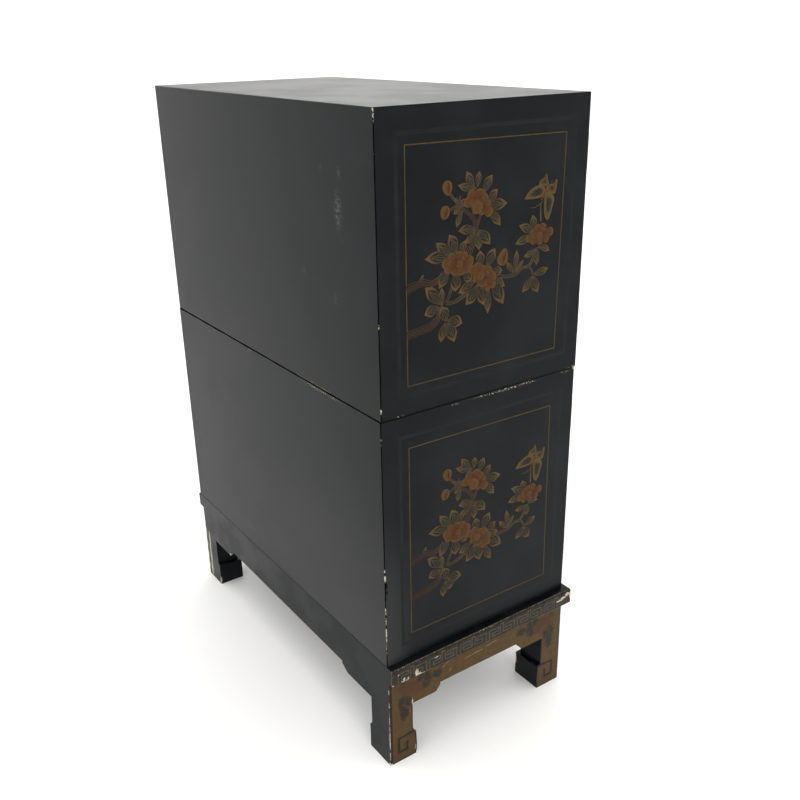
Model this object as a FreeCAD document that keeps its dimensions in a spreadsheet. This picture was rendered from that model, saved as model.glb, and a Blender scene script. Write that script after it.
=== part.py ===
import FreeCAD, Part

import math
import os

import Sketcher

# Two black-lacquered cupboard boxes, stacked loose on a low stand with bracket feet.
# Millimetres. +Z is up, the doors face -Y, left is -X. The origin is on the floor,
# under the middle of the whole object's box.

DIMENSIONS = {
    # the stand
    "stand_width": 706,
    "stand_depth": 370,
    "stand_height": 195,
    "stand_setback": 1,
    "moulding_thick": 29,
    "moulding_side": 12.5,
    "moulding_front": 10.5,
    "moulding_corner": 4,
    "moulding_top_round": 5,
    "moulding_low_round": 3,
    "apron_thick": 18,
    "hoof_long": 58,
    "ankle_long": 52,
    "hoof_short": 51,
    "ankle_short": 44.5,
    "hoof_top": 49,
    "hoof_round": 5,
    "bracket_height": 105,
    "bracket_long": 124,
    "bracket_short": 92,
    "bracket_round": 4,
    "cusp_long": 141,
    "cusp_short": 101,
    "cusp_nick": 4,
    "arch_height": 120,
    "foot_round": 1.2,
    # the two boxes
    "box_width": 710,
    "box_depth": 370,
    "box_height": 412.5,
    "lower_shift": 3,
    "upper_shift": 1,
    "board_thick": 18,
    "back_thick": 9,
    "edge_round": 1.6,
    "shelf_thick": 15,
    "shelf_setback": 14,
    "cleat_height": 18,
    "cleat_thick": 12,
    "cleat_setback": 40,
    # the doors
    "door_thick": 18,
    "door_gap": 1.5,
    "door_round": 1,
    "catch_length": 56,
    "catch_width": 16,
    "catch_height": 14,
    "catch_round": 2,
    "catch_play": 0.4,
    "strike_length": 20,
    "strike_height": 12,
    "strike_thick": 1.2,
    "strike_offset": 15,
    # the hinges
    "hinge_height": 54,
    "hinge_inset": 62,
    "leaf_thick": 1.5,
    "frame_leaf_reach": 16.8,
    "door_leaf_reach": 40,
    "leaf_notch": 3.4,
    "leaf_corner": 2,
    "barrel_radius": 3.5,
    "barrel_proud": 4,
    "knuckle_play": 0.2,
    "pin_radius": 1.5,
    "pin_play": 0.05,
    "finial_radius": 3.1,
    "finial_height": 7,
    "nail_head": 2.3,
    "nail_shank": 0.9,
    "nail_length": 10,
    "nail_rise": 17,
    "frame_nail_reach": 10.5,
    "door_nail_near": 12,
    "door_nail_far": 33,
    # the round plate, its posts and drop pulls
    "plate_radius": 58,
    "plate_thick": 1.5,
    "plate_edge": 0.5,
    "plate_nail_radius": 50,
    "post_offset": 24,
    "post_rise": 16,
    "rosette_radius": 9,
    "rosette_thick": 2,
    "post_shank": 2,
    "post_length": 14,
    "ear_thick": 1.8,
    "ear_round": 3.5,
    "pivot_proud": 8,
    "pivot_radius": 1.25,
    "pivot_play": 0.05,
    "eye_width": 5.4,
    "eye_radius": 3.2,
    "eye_play": 0.3,
    "pull_length": 40,
    "pull_neck": 2,
    "pull_round": 8,
    "pull_thick": 3,
    "pull_edge": 0.7,
}

SHEET = "Sizes"
PARTS_FOLDER = "parts"
DOME_LATITUDE = 30  # degrees up a sphere where a nail's domed head begins
PLATE_NAIL_ANGLES = (25, 65, -25, -65)  # degrees from level, round the half plate
# A hinge pin's finial from its tip to its foot, as shares of its radius and its rise.
FINIAL_PROFILE = ((0, 1), (0.35, 1), (1, 0.55), (1, 0.3), (0.7, 0.15), (1, 0))


class Size:
    """A length that knows both its value in mm and its formula over the sheet's cells."""

    def __init__(self, value, text):
        self.value = float(value)
        self.text = text

    @staticmethod
    def of(other):
        return other if isinstance(other, Size) else Size(other, repr(float(other)))

    def __add__(self, other):
        other = Size.of(other)
        return Size(self.value + other.value, f"({self.text} + {other.text})")

    def __sub__(self, other):
        other = Size.of(other)
        return Size(self.value - other.value, f"({self.text} - {other.text})")

    def __mul__(self, factor):
        return Size(self.value * factor, f"({self.text} * {float(factor)!r})")

    def __truediv__(self, divisor):
        return Size(self.value / divisor, f"({self.text} / {float(divisor)!r})")

    def __neg__(self):
        return Size(-self.value, f"(-{self.text})")

    __radd__ = __add__
    __rmul__ = __mul__

    def __rsub__(self, other):
        return Size.of(other) - self


ZERO = Size.of(0)
doc = FreeCAD.newDocument("cabinet_on_stand")
nodes = []


def make_sheet():
    """Writes every driving dimension into the spreadsheet, one named cell each."""
    sheet = doc.addObject("Spreadsheet::Sheet", SHEET)
    for row, (name, number) in enumerate(DIMENSIONS.items(), start=1):
        sheet.set(f"A{row}", name.replace("_", " "))
        sheet.set(f"B{row}", str(number))
        sheet.setAlias(f"B{row}", name)
    doc.recompute()


def cell(name):
    return Size(DIMENSIONS[name], f"{SHEET}.{name}")


def bind(obj, **sizes):
    """Ties properties of an object to their formulas."""
    for name, size in sizes.items():
        obj.setExpression(name, Size.of(size).text)


def place(obj, x, y, z, rotation=None):
    """Puts an object's own origin at a place tied to the sheet."""
    if rotation:
        obj.Placement = FreeCAD.Placement(FreeCAD.Vector(), rotation)
    for axis, size in zip("xyz", (x, y, z)):
        obj.setExpression(f"Placement.Base.{axis}", Size.of(size).text)


def node(obj, label):
    """Names a finished piece and keeps it for the hand-over."""
    obj.Label = label
    nodes.append(obj)
    return obj


# ---------------------------------------------------------------- ways of making


def block(name, size, at):
    """A plain rectangular board, its low corner at a place."""
    made = doc.addObject("Part::Box", name)
    bind(made, Length=size[0], Width=size[1], Height=size[2])
    place(made, *at)
    return made


def rod(name, radius, length, at, rotation=None):
    """A plain round rod that starts at a place and runs along its own +Z."""
    made = doc.addObject("Part::Cylinder", name)
    bind(made, Radius=radius, Height=length)
    place(made, *at, rotation)
    return made


def group(name, pieces):
    """Several separate solids that make one node."""
    made = doc.addObject("Part::Compound", name)
    made.Links = pieces
    return made


def fused(name, pieces):
    made = doc.addObject("Part::MultiFuse", name)
    made.Shapes = pieces
    return made


def common(name, base, tool):
    made = doc.addObject("Part::Common", name)
    made.Base, made.Tool = base, tool
    return made


def bored(name, base, tools):
    """The base with each tool's shape cut out of it."""
    for count, tool in enumerate(tools):
        made = doc.addObject("Part::Cut", f"{name}_cut_{count}")
        made.Base, made.Tool = base, tool
        base = made
    return base


def new_body(name):
    return doc.addObject("PartDesign::Body", name)


def sketch_on(body, role):
    """An empty sketch on one of the body's own origin planes."""
    made = body.newObject("Sketcher::SketchObject", f"{body.Name}_sketch")
    plane = next(f for f in body.Origin.OriginFeatures if f.Role == role)
    made.AttachmentSupport = (plane, [""])
    made.MapMode = "FlatFace"
    return made


def tie(sketch, kind, ends, size, name):
    """Adds one measured constraint and ties it to the sheet."""
    size = Size.of(size)
    index = sketch.addConstraint(Sketcher.Constraint(kind, *ends, size.value))
    sketch.renameConstraint(index, name)
    sketch.setExpression(f"Constraints.{name}", size.text)


def outline(sketch, corners):
    """A closed outline of straight edges, every corner tied to the sheet."""
    points = [FreeCAD.Vector(Size.of(u).value, Size.of(v).value, 0) for u, v in corners]
    count = len(points)
    for index in range(count):
        sketch.addGeometry(Part.LineSegment(points[index], points[(index + 1) % count]), False)
    for index, (across, up) in enumerate(corners):
        following = (index + 1) % count
        sketch.addConstraint(Sketcher.Constraint("Coincident", index, 2, following, 1))
        tie(sketch, "DistanceX", (-1, 1, index, 1), across, f"across{index}")
        tie(sketch, "DistanceY", (-1, 1, index, 1), up, f"up{index}")


def circle(sketch, radius, across=ZERO, up=ZERO):
    centre = FreeCAD.Vector(across.value, up.value, 0)
    sketch.addGeometry(Part.Circle(centre, FreeCAD.Vector(0, 0, 1), radius.value), False)
    tie(sketch, "Radius", (0,), radius, "radius")
    tie(sketch, "DistanceX", (-1, 1, 0, 3), across, "across")
    tie(sketch, "DistanceY", (-1, 1, 0, 3), up, "up")


def pad(body, sketch, length, midplane=False, reverse=False):
    made = body.newObject("PartDesign::Pad", f"{body.Name}_pad")
    made.Profile = sketch
    made.Midplane = midplane
    made.Reversed = reverse
    bind(made, Length=length)
    doc.recompute()
    return made


def edges_where(feature, test):
    """Names of the edges whose middle point and direction, end to end, pass a test."""
    names = []
    for index, edge in enumerate(feature.Shape.Edges, start=1):
        first, last = edge.Vertexes[0].Point, edge.Vertexes[-1].Point
        run = last - first
        if run.Length > 0:
            run.normalize()
        if test((first + last) * 0.5, run):
            names.append(f"Edge{index}")
    return names


def rounded(body, radius, test=None):
    """Rounds the edges of a body's tip that pass a test, or all of them."""
    base = body.Tip
    made = body.newObject("PartDesign::Fillet", f"{body.Name}_round")
    if test:
        made.Base = (base, edges_where(base, test))
    else:
        made.Base = (base, [""])
        made.UseAllEdges = True
    bind(made, Radius=radius)
    doc.recompute()
    return made


def near(a, b):
    return abs(a - b) < 0.01


# ---------------------------------------------------------------- shared measures

# The pulls' ears stand furthest forward of everything, so the object's box runs
# from them to the boxes' backs.
HARDWARE_PROUD = cell("pivot_proud") + cell("ear_round")
BACK = (cell("box_depth") + HARDWARE_PROUD) / 2
FRONT = BACK - cell("box_depth")
STAND_BACK = BACK - cell("stand_setback")
STAND_FRONT = STAND_BACK - cell("stand_depth")
APRON_TOP = cell("stand_height") - cell("moulding_thick")


# ---------------------------------------------------------------- the stand


def bracket_outline(length, start_cut, end_cut, hoof, ankle, bracket, cusp):
    """An apron with a bracket foot at each end, drawn from corner to corner of the stand.

    start_cut and end_cut are how far the board stops short of the two corners. The foot's
    inner edge steps back above the hoof, and its bracket rises in a slanted cusp to the arch.
    """
    arch = cell("arch_height")
    foot = [
        (hoof, ZERO),
        (hoof, cell("hoof_top")),
        (ankle, cell("hoof_top")),
        (ankle, cell("bracket_height")),
        (bracket, cell("bracket_height")),
        (cusp, arch - cell("cusp_nick")),
        (cusp, arch),
    ]
    far_foot = [(length - across, up) for across, up in reversed(foot)]
    ends = [
        (length - end_cut, ZERO),
        (length - end_cut, APRON_TOP),
        (start_cut, APRON_TOP),
    ]
    return [(start_cut, ZERO)] + foot + far_foot + ends


def apron(label, plane, length, cuts, foot_sizes, thick_reversed, at, outer_edges):
    """One apron board, its hoofs' shoulders and bracket ends rounded."""
    hoof, bracket = foot_sizes[0], foot_sizes[2]
    body = new_body(label)
    sketch = sketch_on(body, plane)
    outline(sketch, bracket_outline(length, *cuts, *foot_sizes))
    pad(body, sketch, cell("apron_thick"), reverse=thick_reversed)

    def along(point):
        return point.x if plane == "XZ_Plane" else point.y

    def corner(across, up):
        def test(middle, direction):
            reach = (along(middle), length.value - along(middle))
            return near(middle.z, up.value) and any(near(r, across.value) for r in reach)

        return test

    rounded(body, cell("hoof_round"), corner(hoof, cell("hoof_top")))
    rounded(body, cell("bracket_round"), corner(bracket, cell("bracket_height")))
    if outer_edges:
        rounded(body, cell("foot_round"), outer_edges)
    place(body, *at)
    return node(body, label)


def make_stand():
    """Four aprons with bracket feet, their glue blocks and the moulded board on top."""
    width, depth, thick = cell("stand_width"), cell("stand_depth"), cell("apron_thick")
    foot_steps = ("hoof", "ankle", "bracket", "cusp")
    long_foot = [cell(f"{step}_long") for step in foot_steps]
    short_foot = [cell(f"{step}_short") for step in foot_steps]

    def upright_end(middle, direction):
        """The front board's two outer upright corners."""
        at_end = near(middle.x, 0) or near(middle.x, width.value)
        return at_end and near(abs(direction.z), 1) and near(middle.y, 0)

    def upright_back(outer_x):
        def test(middle, direction):
            at_back = near(middle.y, depth.value)
            return at_back and near(abs(direction.z), 1) and near(middle.x, outer_x)

        return test

    apron(
        "stand_front_apron",
        "XZ_Plane",
        width,
        (ZERO, ZERO),
        long_foot,
        True,
        (-width / 2, STAND_FRONT, ZERO),
        upright_end,
    )
    apron(
        "stand_back_apron",
        "XZ_Plane",
        width,
        (thick, thick),
        long_foot,
        False,
        (-width / 2, STAND_BACK, ZERO),
        None,
    )
    for label, left_face, outer_x in (
        ("stand_left_apron", -width / 2, 0),
        ("stand_right_apron", width / 2 - thick, thick.value),
    ):
        apron(
            label,
            "YZ_Plane",
            depth,
            (thick, ZERO),
            short_foot,
            False,
            (left_face, STAND_FRONT, ZERO),
            upright_back(outer_x),
        )
    make_corner_blocks(width, depth, thick)
    make_stand_top(width, depth)


def make_corner_blocks(width, depth, thick):
    """Four square glue blocks that fill the corners of the feet, wider in the hoofs."""
    blocks = []
    for name, sign_x, y_out, sign_y in (
        ("front_left", -1, STAND_FRONT, 1),
        ("front_right", 1, STAND_FRONT, 1),
        ("back_left", -1, STAND_BACK, -1),
        ("back_right", 1, STAND_BACK, -1),
    ):
        steps = []
        for step, long_reach, short_reach, height in (
            ("hoof", cell("hoof_long"), cell("hoof_short"), cell("hoof_top") - cell("hoof_round")),
            ("ankle", cell("ankle_long"), cell("ankle_short"), APRON_TOP),
        ):
            size = (long_reach - thick, short_reach - thick, height)
            inner_x = (width / 2 - long_reach) * sign_x
            low_x = inner_x if sign_x > 0 else inner_x - size[0]
            low_y = y_out + thick if sign_y > 0 else y_out - short_reach
            steps.append(block(f"block_{name}_{step}", size, (low_x, low_y, ZERO)))
        blocks.append(fused(f"block_{name}", steps))
    node(group("corner_blocks", blocks), "stand_corner_blocks")


def make_stand_top(width, depth):
    """The board on top of the aprons, moulded on the front and both sides."""
    body = new_body("stand_top_board")
    half = width / 2 + cell("moulding_side")
    low, high = STAND_FRONT - cell("moulding_front"), BACK
    sketch = sketch_on(body, "XY_Plane")
    outline(sketch, [(-half, low), (half, low), (half, high), (-half, high)])
    pad(body, sketch, cell("moulding_thick"))
    rounded(
        body,
        cell("moulding_corner"),
        lambda middle, direction: near(abs(direction.z), 1) and near(middle.y, low.value),
    )

    def moulded(height):
        def test(middle, direction):
            back_edge = near(middle.y, high.value) and near(abs(direction.x), 1)
            return near(middle.z, height) and near(direction.z, 0) and not back_edge

        return test

    rounded(body, cell("moulding_low_round"), moulded(0))
    rounded(body, cell("moulding_top_round"), moulded(cell("moulding_thick").value))
    place(body, ZERO, ZERO, APRON_TOP)
    node(body, "stand_top_board")


# ---------------------------------------------------------------- small brassware


def make_nail():
    """The one round-headed brass nail that every plate and leaf is fixed with."""
    dome_radius = cell("nail_head") / math.cos(math.radians(DOME_LATITUDE))
    dome = doc.addObject("Part::Sphere", "nail_dome")
    bind(dome, Radius=dome_radius)
    dome.Angle1 = DOME_LATITUDE
    forward = FreeCAD.Rotation(FreeCAD.Vector(0, 0, 1), FreeCAD.Vector(0, -1, 0))
    dome_drop = dome_radius * math.sin(math.radians(DOME_LATITUDE))
    place(dome, ZERO, dome_drop, ZERO, forward)
    inward = FreeCAD.Rotation(FreeCAD.Vector(0, 0, 1), FreeCAD.Vector(0, 1, 0))
    shank = rod("nail_shank", cell("nail_shank"), cell("nail_length"), (ZERO,) * 3, inward)
    nail = fused("nail", [dome, shank])
    doc.recompute()
    return nail


def nails(name, nail, places):
    """Copies of the nail as separate solids, its head on each place and its point to +Y."""
    made = doc.addObject("Part::Feature", name)
    made.Shape = Part.makeCompound(
        [
            nail.Shape.Solids[0].translated(FreeCAD.Vector(*(part.value for part in spot)))
            for spot in places
        ]
    )
    return made


def hinge_leaf(name, sign, reach, knuckles, bore, at):
    """A flat leaf with its knuckles, its origin on the leaf's back face, level with the pin's middle.

    sign says which way the leaf runs from the pin; knuckles are thirds of the hinge
    that this leaf holds, counted -1, 0 and 1 from the bottom. The pin's axis is in front
    of the leaf's back face.
    """
    height, notch = cell("hinge_height"), cell("leaf_notch")
    third = height / 3
    body = new_body(name)
    corners = [(reach * sign, -height / 2), (reach * sign, height / 2)]
    inner = []
    for knuckle in (1, 0, -1):
        edge = ZERO if knuckle in knuckles else notch * sign
        trim = cell("knuckle_play") if knuckle in knuckles else -cell("knuckle_play")
        top = height / 2 if knuckle == 1 else third * (knuckle + 0.5) - trim
        low = -height / 2 if knuckle == -1 else third * (knuckle - 0.5) + trim
        inner += [(edge, top), (edge, low)]
    sketch = sketch_on(body, "XZ_Plane")
    outline(sketch, corners + inner)
    pad(body, sketch, cell("leaf_thick"))
    axis_y = -cell("barrel_proud")
    rounded(
        body,
        cell("leaf_corner"),
        lambda middle, direction: near(abs(direction.y), 1)
        and near(middle.x, reach.value * sign),
    )
    for knuckle in knuckles:
        barrel = body.newObject("PartDesign::AdditiveCylinder", f"{name}_knuckle")
        bind(
            barrel,
            Radius=cell("barrel_radius"),
            Height=third - cell("knuckle_play") * 2,
        )
        low = third * (knuckle - 0.5) + cell("knuckle_play")
        place(barrel, ZERO, axis_y, low)
        doc.recompute()
    hole = body.newObject("PartDesign::SubtractiveCylinder", f"{name}_bore")
    bind(hole, Radius=bore, Height=height)
    place(hole, ZERO, axis_y, -height / 2)
    doc.recompute()
    place(body, *at)
    return body


def hinge_pin(name, at):
    """A pin with a turned finial at each end, along Z, its middle at a place."""
    half = cell("hinge_height") / 2
    body = new_body(name)
    sketch = sketch_on(body, "XZ_Plane")
    bulb, rise = cell("finial_radius"), cell("finial_height")
    head = half + cell("knuckle_play")
    profile = [(bulb * across, -head - rise * up) for across, up in FINIAL_PROFILE]
    profile.append((cell("pin_radius"), -head))
    mirrored = [(across, -up) for across, up in reversed(profile)]
    outline(sketch, profile + mirrored)
    spun = body.newObject("PartDesign::Revolution", f"{name}_spun")
    spun.Profile = sketch
    spun.ReferenceAxis = (sketch, ["V_Axis"])
    spun.Angle = 360
    doc.recompute()
    place(body, *at)
    return body


def half_plate(name, sign, at):
    """Half of the round brass plate, its straight edge beside the doors' meeting line."""
    radius, gap = cell("plate_radius"), cell("door_gap") / 2
    disc = new_body(f"{name}_disc")
    sketch = sketch_on(disc, "XZ_Plane")
    circle(sketch, radius)
    pad(disc, sketch, cell("plate_thick"))
    front_face = -cell("plate_thick").value
    rounded(disc, cell("plate_edge"), lambda middle, direction: near(middle.y, front_face))
    place(disc, *at)
    x, y, z = at
    size = (radius * 2, cell("plate_thick") * 3, radius * 3)
    low_x = x + gap if sign > 0 else x - gap - size[0]
    half = block(f"{name}_half", size, (low_x, y - size[1] * 0.5, z - size[2] * 0.5))
    return common(name, disc, half)


def pull_post(name, at):
    """A turned rosette with two ears and a cross pin, at the pull's pivot height."""
    x, y, z = at
    proud = cell("pivot_proud") - cell("plate_thick")
    face = y - cell("plate_thick")
    inward = FreeCAD.Rotation(FreeCAD.Vector(0, 0, 1), FreeCAD.Vector(0, 1, 0))
    across = FreeCAD.Rotation(FreeCAD.Vector(0, 0, 1), FreeCAD.Vector(1, 0, 0))
    inner = cell("eye_width") / 2 + cell("eye_play")
    ear, ear_round = cell("ear_thick"), cell("ear_round")
    pieces = [
        rod(
            f"{name}_rosette",
            cell("rosette_radius"),
            cell("rosette_thick"),
            (x, face - cell("rosette_thick"), z),
            inward,
        ),
        rod(f"{name}_shank", cell("post_shank"), cell("post_length"), (x, face, z), inward),
        rod(
            f"{name}_cross_pin",
            cell("pivot_radius"),
            (inner + ear) * 2,
            (x - inner - ear, face - proud, z),
            across,
        ),
    ]
    for side, low_x in (("left", x - inner - ear), ("right", x + inner)):
        pieces.append(
            block(
                f"{name}_{side}_ear",
                (ear, proud, ear_round * 2),
                (low_x, face - proud, z - ear_round),
            )
        )
        pieces.append(
            rod(f"{name}_{side}_ear_end", ear_round, ear, (low_x, face - proud, z), across)
        )
    return fused(name, pieces)


def drop_pull(name, at):
    """A flat drop that hangs from an eye; its origin is the pivot's middle."""
    neck, drop, length = cell("pull_neck"), cell("pull_round"), cell("pull_length")
    body = new_body(name)
    sketch = sketch_on(body, "XZ_Plane")
    # Two straight sides run from the neck and touch the round end.
    fall = math.hypot(length.value, neck.value)
    lean = math.asin(drop.value / fall) + math.atan2(-neck.value, length.value)
    touch = FreeCAD.Vector(
        drop.value * math.cos(lean), -length.value + drop.value * math.sin(lean), 0
    )
    left_touch = FreeCAD.Vector(-touch.x, touch.y, 0)
    bottom = FreeCAD.Vector(0, -length.value - drop.value, 0)
    top_left, top_right = (FreeCAD.Vector(s * neck.value, 0, 0) for s in (-1, 1))
    sketch.addGeometry(Part.LineSegment(top_left, top_right), False)
    sketch.addGeometry(Part.LineSegment(top_right, touch), False)
    sketch.addGeometry(Part.Arc(left_touch, bottom, touch), False)
    sketch.addGeometry(Part.LineSegment(left_touch, top_left), False)
    sketch.addConstraint(Sketcher.Constraint("Coincident", 0, 2, 1, 1))
    sketch.addConstraint(Sketcher.Constraint("Coincident", 3, 2, 0, 1))
    sketch.addConstraint(Sketcher.Constraint("Tangent", 1, 2, 2, 2))
    sketch.addConstraint(Sketcher.Constraint("Tangent", 3, 1, 2, 1))
    tie(sketch, "Radius", (2,), drop, "drop_radius")
    tie(sketch, "DistanceX", (-1, 1, 2, 3), ZERO, "centre_across")
    tie(sketch, "DistanceY", (-1, 1, 2, 3), -length, "centre_up")
    for line, point, size, title in ((0, 1, -neck, "left"), (0, 2, neck, "right")):
        tie(sketch, "DistanceX", (-1, 1, line, point), size, f"{title}_across")
        tie(sketch, "DistanceY", (-1, 1, line, point), ZERO, f"{title}_up")
    pad(body, sketch, cell("pull_thick"), midplane=True)
    faces = cell("pull_thick").value / 2
    rounded(body, cell("pull_edge"), lambda middle, direction: near(abs(middle.y), faces))
    eye = sketch_on(body, "YZ_Plane")
    circle(eye, cell("eye_radius"))
    pad(body, eye, cell("eye_width"), midplane=True)
    bore_sketch = sketch_on(body, "YZ_Plane")
    circle(bore_sketch, cell("pivot_radius") + cell("pivot_play"))
    bore = body.newObject("PartDesign::Pocket", f"{name}_bore")
    bore.Profile = bore_sketch
    bore.Midplane = True
    bind(bore, Length=cell("eye_width") * 2)
    doc.recompute()
    place(body, *at)
    return body


# ---------------------------------------------------------------- one box


def make_box(level, base, shift, nail):
    """One cupboard box: carcass, shelf, two doors and their brassware."""
    width, depth, height = cell("box_width"), cell("box_depth"), cell("box_height")
    board, gap = cell("board_thick"), cell("door_gap")
    left = shift - width / 2
    inner_left, inner_right = left + board, left + width - board
    middle_up = base + height / 2

    hull = new_body(f"{level}_hull")
    sketch = sketch_on(hull, "XY_Plane")
    right = left + width
    outline(sketch, [(left, FRONT), (right, FRONT), (right, BACK), (left, BACK)])
    pad(hull, sketch, height)
    rounded(hull, cell("edge_round"))
    place(hull, ZERO, ZERO, base)

    hinge_heights = [
        base + board + gap + cell("hinge_inset"),
        base + height - board - gap - cell("hinge_inset"),
    ]
    # Each door's side: which way its leaf and half plate run, and its hinge's axis.
    axis_left = inner_left + gap / 2
    axis_right = inner_right - gap / 2
    reach, rise_off = cell("frame_nail_reach"), cell("nail_rise")
    frame_nail_spots = [
        (axis + reach * sign, FRONT - cell("leaf_thick"), up + rise_off * rise)
        for axis, sign in ((axis_left, -1), (axis_right, 1))
        for up in hinge_heights
        for rise in (-1, 1)
    ]
    frame_nails = node(
        nails(f"{level}_frame_nails", nail, frame_nail_spots), f"{level}_hinge_nails"
    )

    # carcass
    inner_width = width - board * 2
    for title, size, at in (
        ("left_side", (board, depth, height), (left, FRONT, base)),
        ("right_side", (board, depth, height), (inner_right, FRONT, base)),
    ):
        plain = common(
            f"{level}_{title}_rounded", block(f"{level}_{title}_board", size, at), hull
        )
        node(bored(f"{level}_{title}", plain, [frame_nails]), f"{level}_{title}")
    back = cell("back_thick")
    for title, size, at in (
        ("top_board", (inner_width, depth, board), (inner_left, FRONT, base + height - board)),
        ("bottom_board", (inner_width, depth, board), (inner_left, FRONT, base)),
        (
            "back_panel",
            (inner_width, back, height - board * 2),
            (inner_left, BACK - back, base + board),
        ),
    ):
        piece = block(f"{level}_{title}_board", size, at)
        node(common(f"{level}_{title}", piece, hull), f"{level}_{title}")

    # shelf and its cleats
    door_back = FRONT + cell("door_thick")
    shelf_front = door_back + cell("shelf_setback")
    shelf_low = middle_up - cell("shelf_thick") / 2
    shelf_size = (inner_width, BACK - back - shelf_front, cell("shelf_thick"))
    node(block(f"{level}_shelf", shelf_size, (inner_left, shelf_front, shelf_low)), f"{level}_shelf")
    cleat_low = shelf_low - cell("cleat_height")
    cleat_front = shelf_front + cell("cleat_setback")
    cleat_size = (cell("cleat_thick"), BACK - back - cleat_front, cell("cleat_height"))
    cleats = [
        block(f"{level}_cleat_{side}", cleat_size, (low_x, cleat_front, cleat_low))
        for side, low_x in (("left", inner_left), ("right", inner_right - cell("cleat_thick")))
    ]
    node(group(f"{level}_cleats", cleats), f"{level}_shelf_cleats")

    # magnetic catch under the top board
    catch = new_body(f"{level}_catch")
    catch_sketch = sketch_on(catch, "XY_Plane")
    half_catch, catch_width = cell("catch_length") / 2, cell("catch_width")
    outline(
        catch_sketch,
        [(-half_catch, ZERO), (half_catch, ZERO), (half_catch, catch_width), (-half_catch, catch_width)],
    )
    pad(catch, catch_sketch, cell("catch_height"), reverse=True)
    rounded(catch, cell("catch_round"), lambda middle, direction: near(abs(direction.z), 1))
    strike_face = door_back + cell("strike_thick")
    ceiling = base + height - board
    place(catch, shift, strike_face + cell("catch_play"), ceiling)
    node(catch, f"{level}_catch")

    # hinges: frame leaves and pins belong to the box, door leaves to the doors
    frame_leaves, pins, door_leaves = [], [], {"left": [], "right": []}
    for side, axis, outward in (("left", axis_left, -1), ("right", axis_right, 1)):
        for floor, up in zip(("low", "high"), hinge_heights):
            stem = f"{level}_{side}_{floor}"
            at = (axis, FRONT, up)
            frame_leaves.append(
                hinge_leaf(
                    f"{stem}_frame_leaf",
                    outward,
                    cell("frame_leaf_reach"),
                    (-1, 1),
                    cell("pin_radius"),
                    at,
                )
            )
            door_leaves[side].append(
                hinge_leaf(
                    f"{stem}_door_leaf",
                    -outward,
                    cell("door_leaf_reach"),
                    (0,),
                    cell("pin_radius") + cell("pin_play"),
                    at,
                )
            )
            pins.append(hinge_pin(f"{stem}_pin", (axis, FRONT - cell("barrel_proud"), up)))
    leaves = group(f"{level}_frame_leaf_group", frame_leaves)
    node(
        bored(f"{level}_frame_leaves", leaves, [frame_nails]), f"{level}_frame_hinge_leaves"
    )
    node(group(f"{level}_pins", pins), f"{level}_hinge_pins")

    # doors
    door_width = (inner_width - gap * 3) / 2
    door_size = (door_width, cell("door_thick"), height - board * 2 - gap * 2)
    for side, axis, inward, low_x in (
        ("left", axis_left, 1, inner_left + gap),
        ("right", axis_right, -1, inner_right - gap - door_width),
    ):
        make_door(
            f"{level}_{side}",
            nail,
            shift,
            axis,
            inward,
            hinge_heights,
            door_size,
            (low_x, FRONT, base + board + gap),
            middle_up,
            door_leaves[side],
            (strike_face, ceiling),
        )


def make_door(stem, nail, centre, axis, inward, hinge_heights, size, at, middle_up, leaves, catch_at):
    """One door with everything that swings with it."""
    low_x, low_y, low_z = at
    body = new_body(f"{stem}_panel")
    sketch = sketch_on(body, "XZ_Plane")
    outline(sketch, [(ZERO, ZERO), (size[0], ZERO), (size[0], size[2]), (ZERO, size[2])])
    pad(body, sketch, size[1], reverse=True)
    rounded(body, cell("door_round"))
    place(body, low_x, low_y, low_z)

    toward_hinge = -inward
    leaf_spots = [
        (axis + reach * inward, FRONT - cell("leaf_thick"), up + cell("nail_rise") * rise)
        for up in hinge_heights
        for reach in (cell("door_nail_near"), cell("door_nail_far"))
        for rise in (-1, 1)
    ]
    plate_spots = [
        (
            centre + cell("plate_nail_radius") * (toward_hinge * math.cos(math.radians(angle))),
            FRONT - cell("plate_thick"),
            middle_up + cell("plate_nail_radius") * math.sin(math.radians(angle)),
        )
        for angle in PLATE_NAIL_ANGLES
    ]
    door_nails = node(
        nails(f"{stem}_nail_group", nail, leaf_spots + plate_spots), f"{stem}_door_nails"
    )

    pivot_x = centre + cell("post_offset") * toward_hinge
    pivot_z = middle_up + cell("post_rise")
    post = node(pull_post(f"{stem}_post", (pivot_x, FRONT, pivot_z)), f"{stem}_pull_post")
    node(bored(f"{stem}_door", body, [door_nails, post]), f"{stem}_door")
    leaf_group = group(f"{stem}_leaf_group", leaves)
    node(bored(f"{stem}_leaves", leaf_group, [door_nails]), f"{stem}_door_hinge_leaves")
    plate = half_plate(f"{stem}_plate", toward_hinge, (centre, FRONT, middle_up))
    node(bored(f"{stem}_lock", plate, [door_nails, post]), f"{stem}_lock_plate")
    pull = drop_pull(f"{stem}_drop", (pivot_x, FRONT - cell("pivot_proud"), pivot_z))
    node(pull, f"{stem}_pull")

    strike_face, ceiling = catch_at
    strike_x = centre + cell("strike_offset") * toward_hinge - cell("strike_length") / 2
    strike_size = (cell("strike_length"), cell("strike_thick"), cell("strike_height"))
    strike_z = ceiling - cell("catch_height")
    strike_at = (strike_x, strike_face - cell("strike_thick"), strike_z)
    node(block(f"{stem}_strike_block", strike_size, strike_at), f"{stem}_strike")


# ---------------------------------------------------------------- hand-over


def check_document():
    """Stops if any object failed or any piece is empty or not a valid solid."""
    for obj in doc.Objects:
        if {"Invalid", "Error"} & set(obj.State):
            raise RuntimeError(f"{obj.Label} failed: {obj.State}")
    for piece in nodes:
        shape = piece.Shape
        if shape.isNull() or not shape.isValid() or not shape.Solids:
            raise RuntimeError(f"{piece.Label} has no valid solid")


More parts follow.
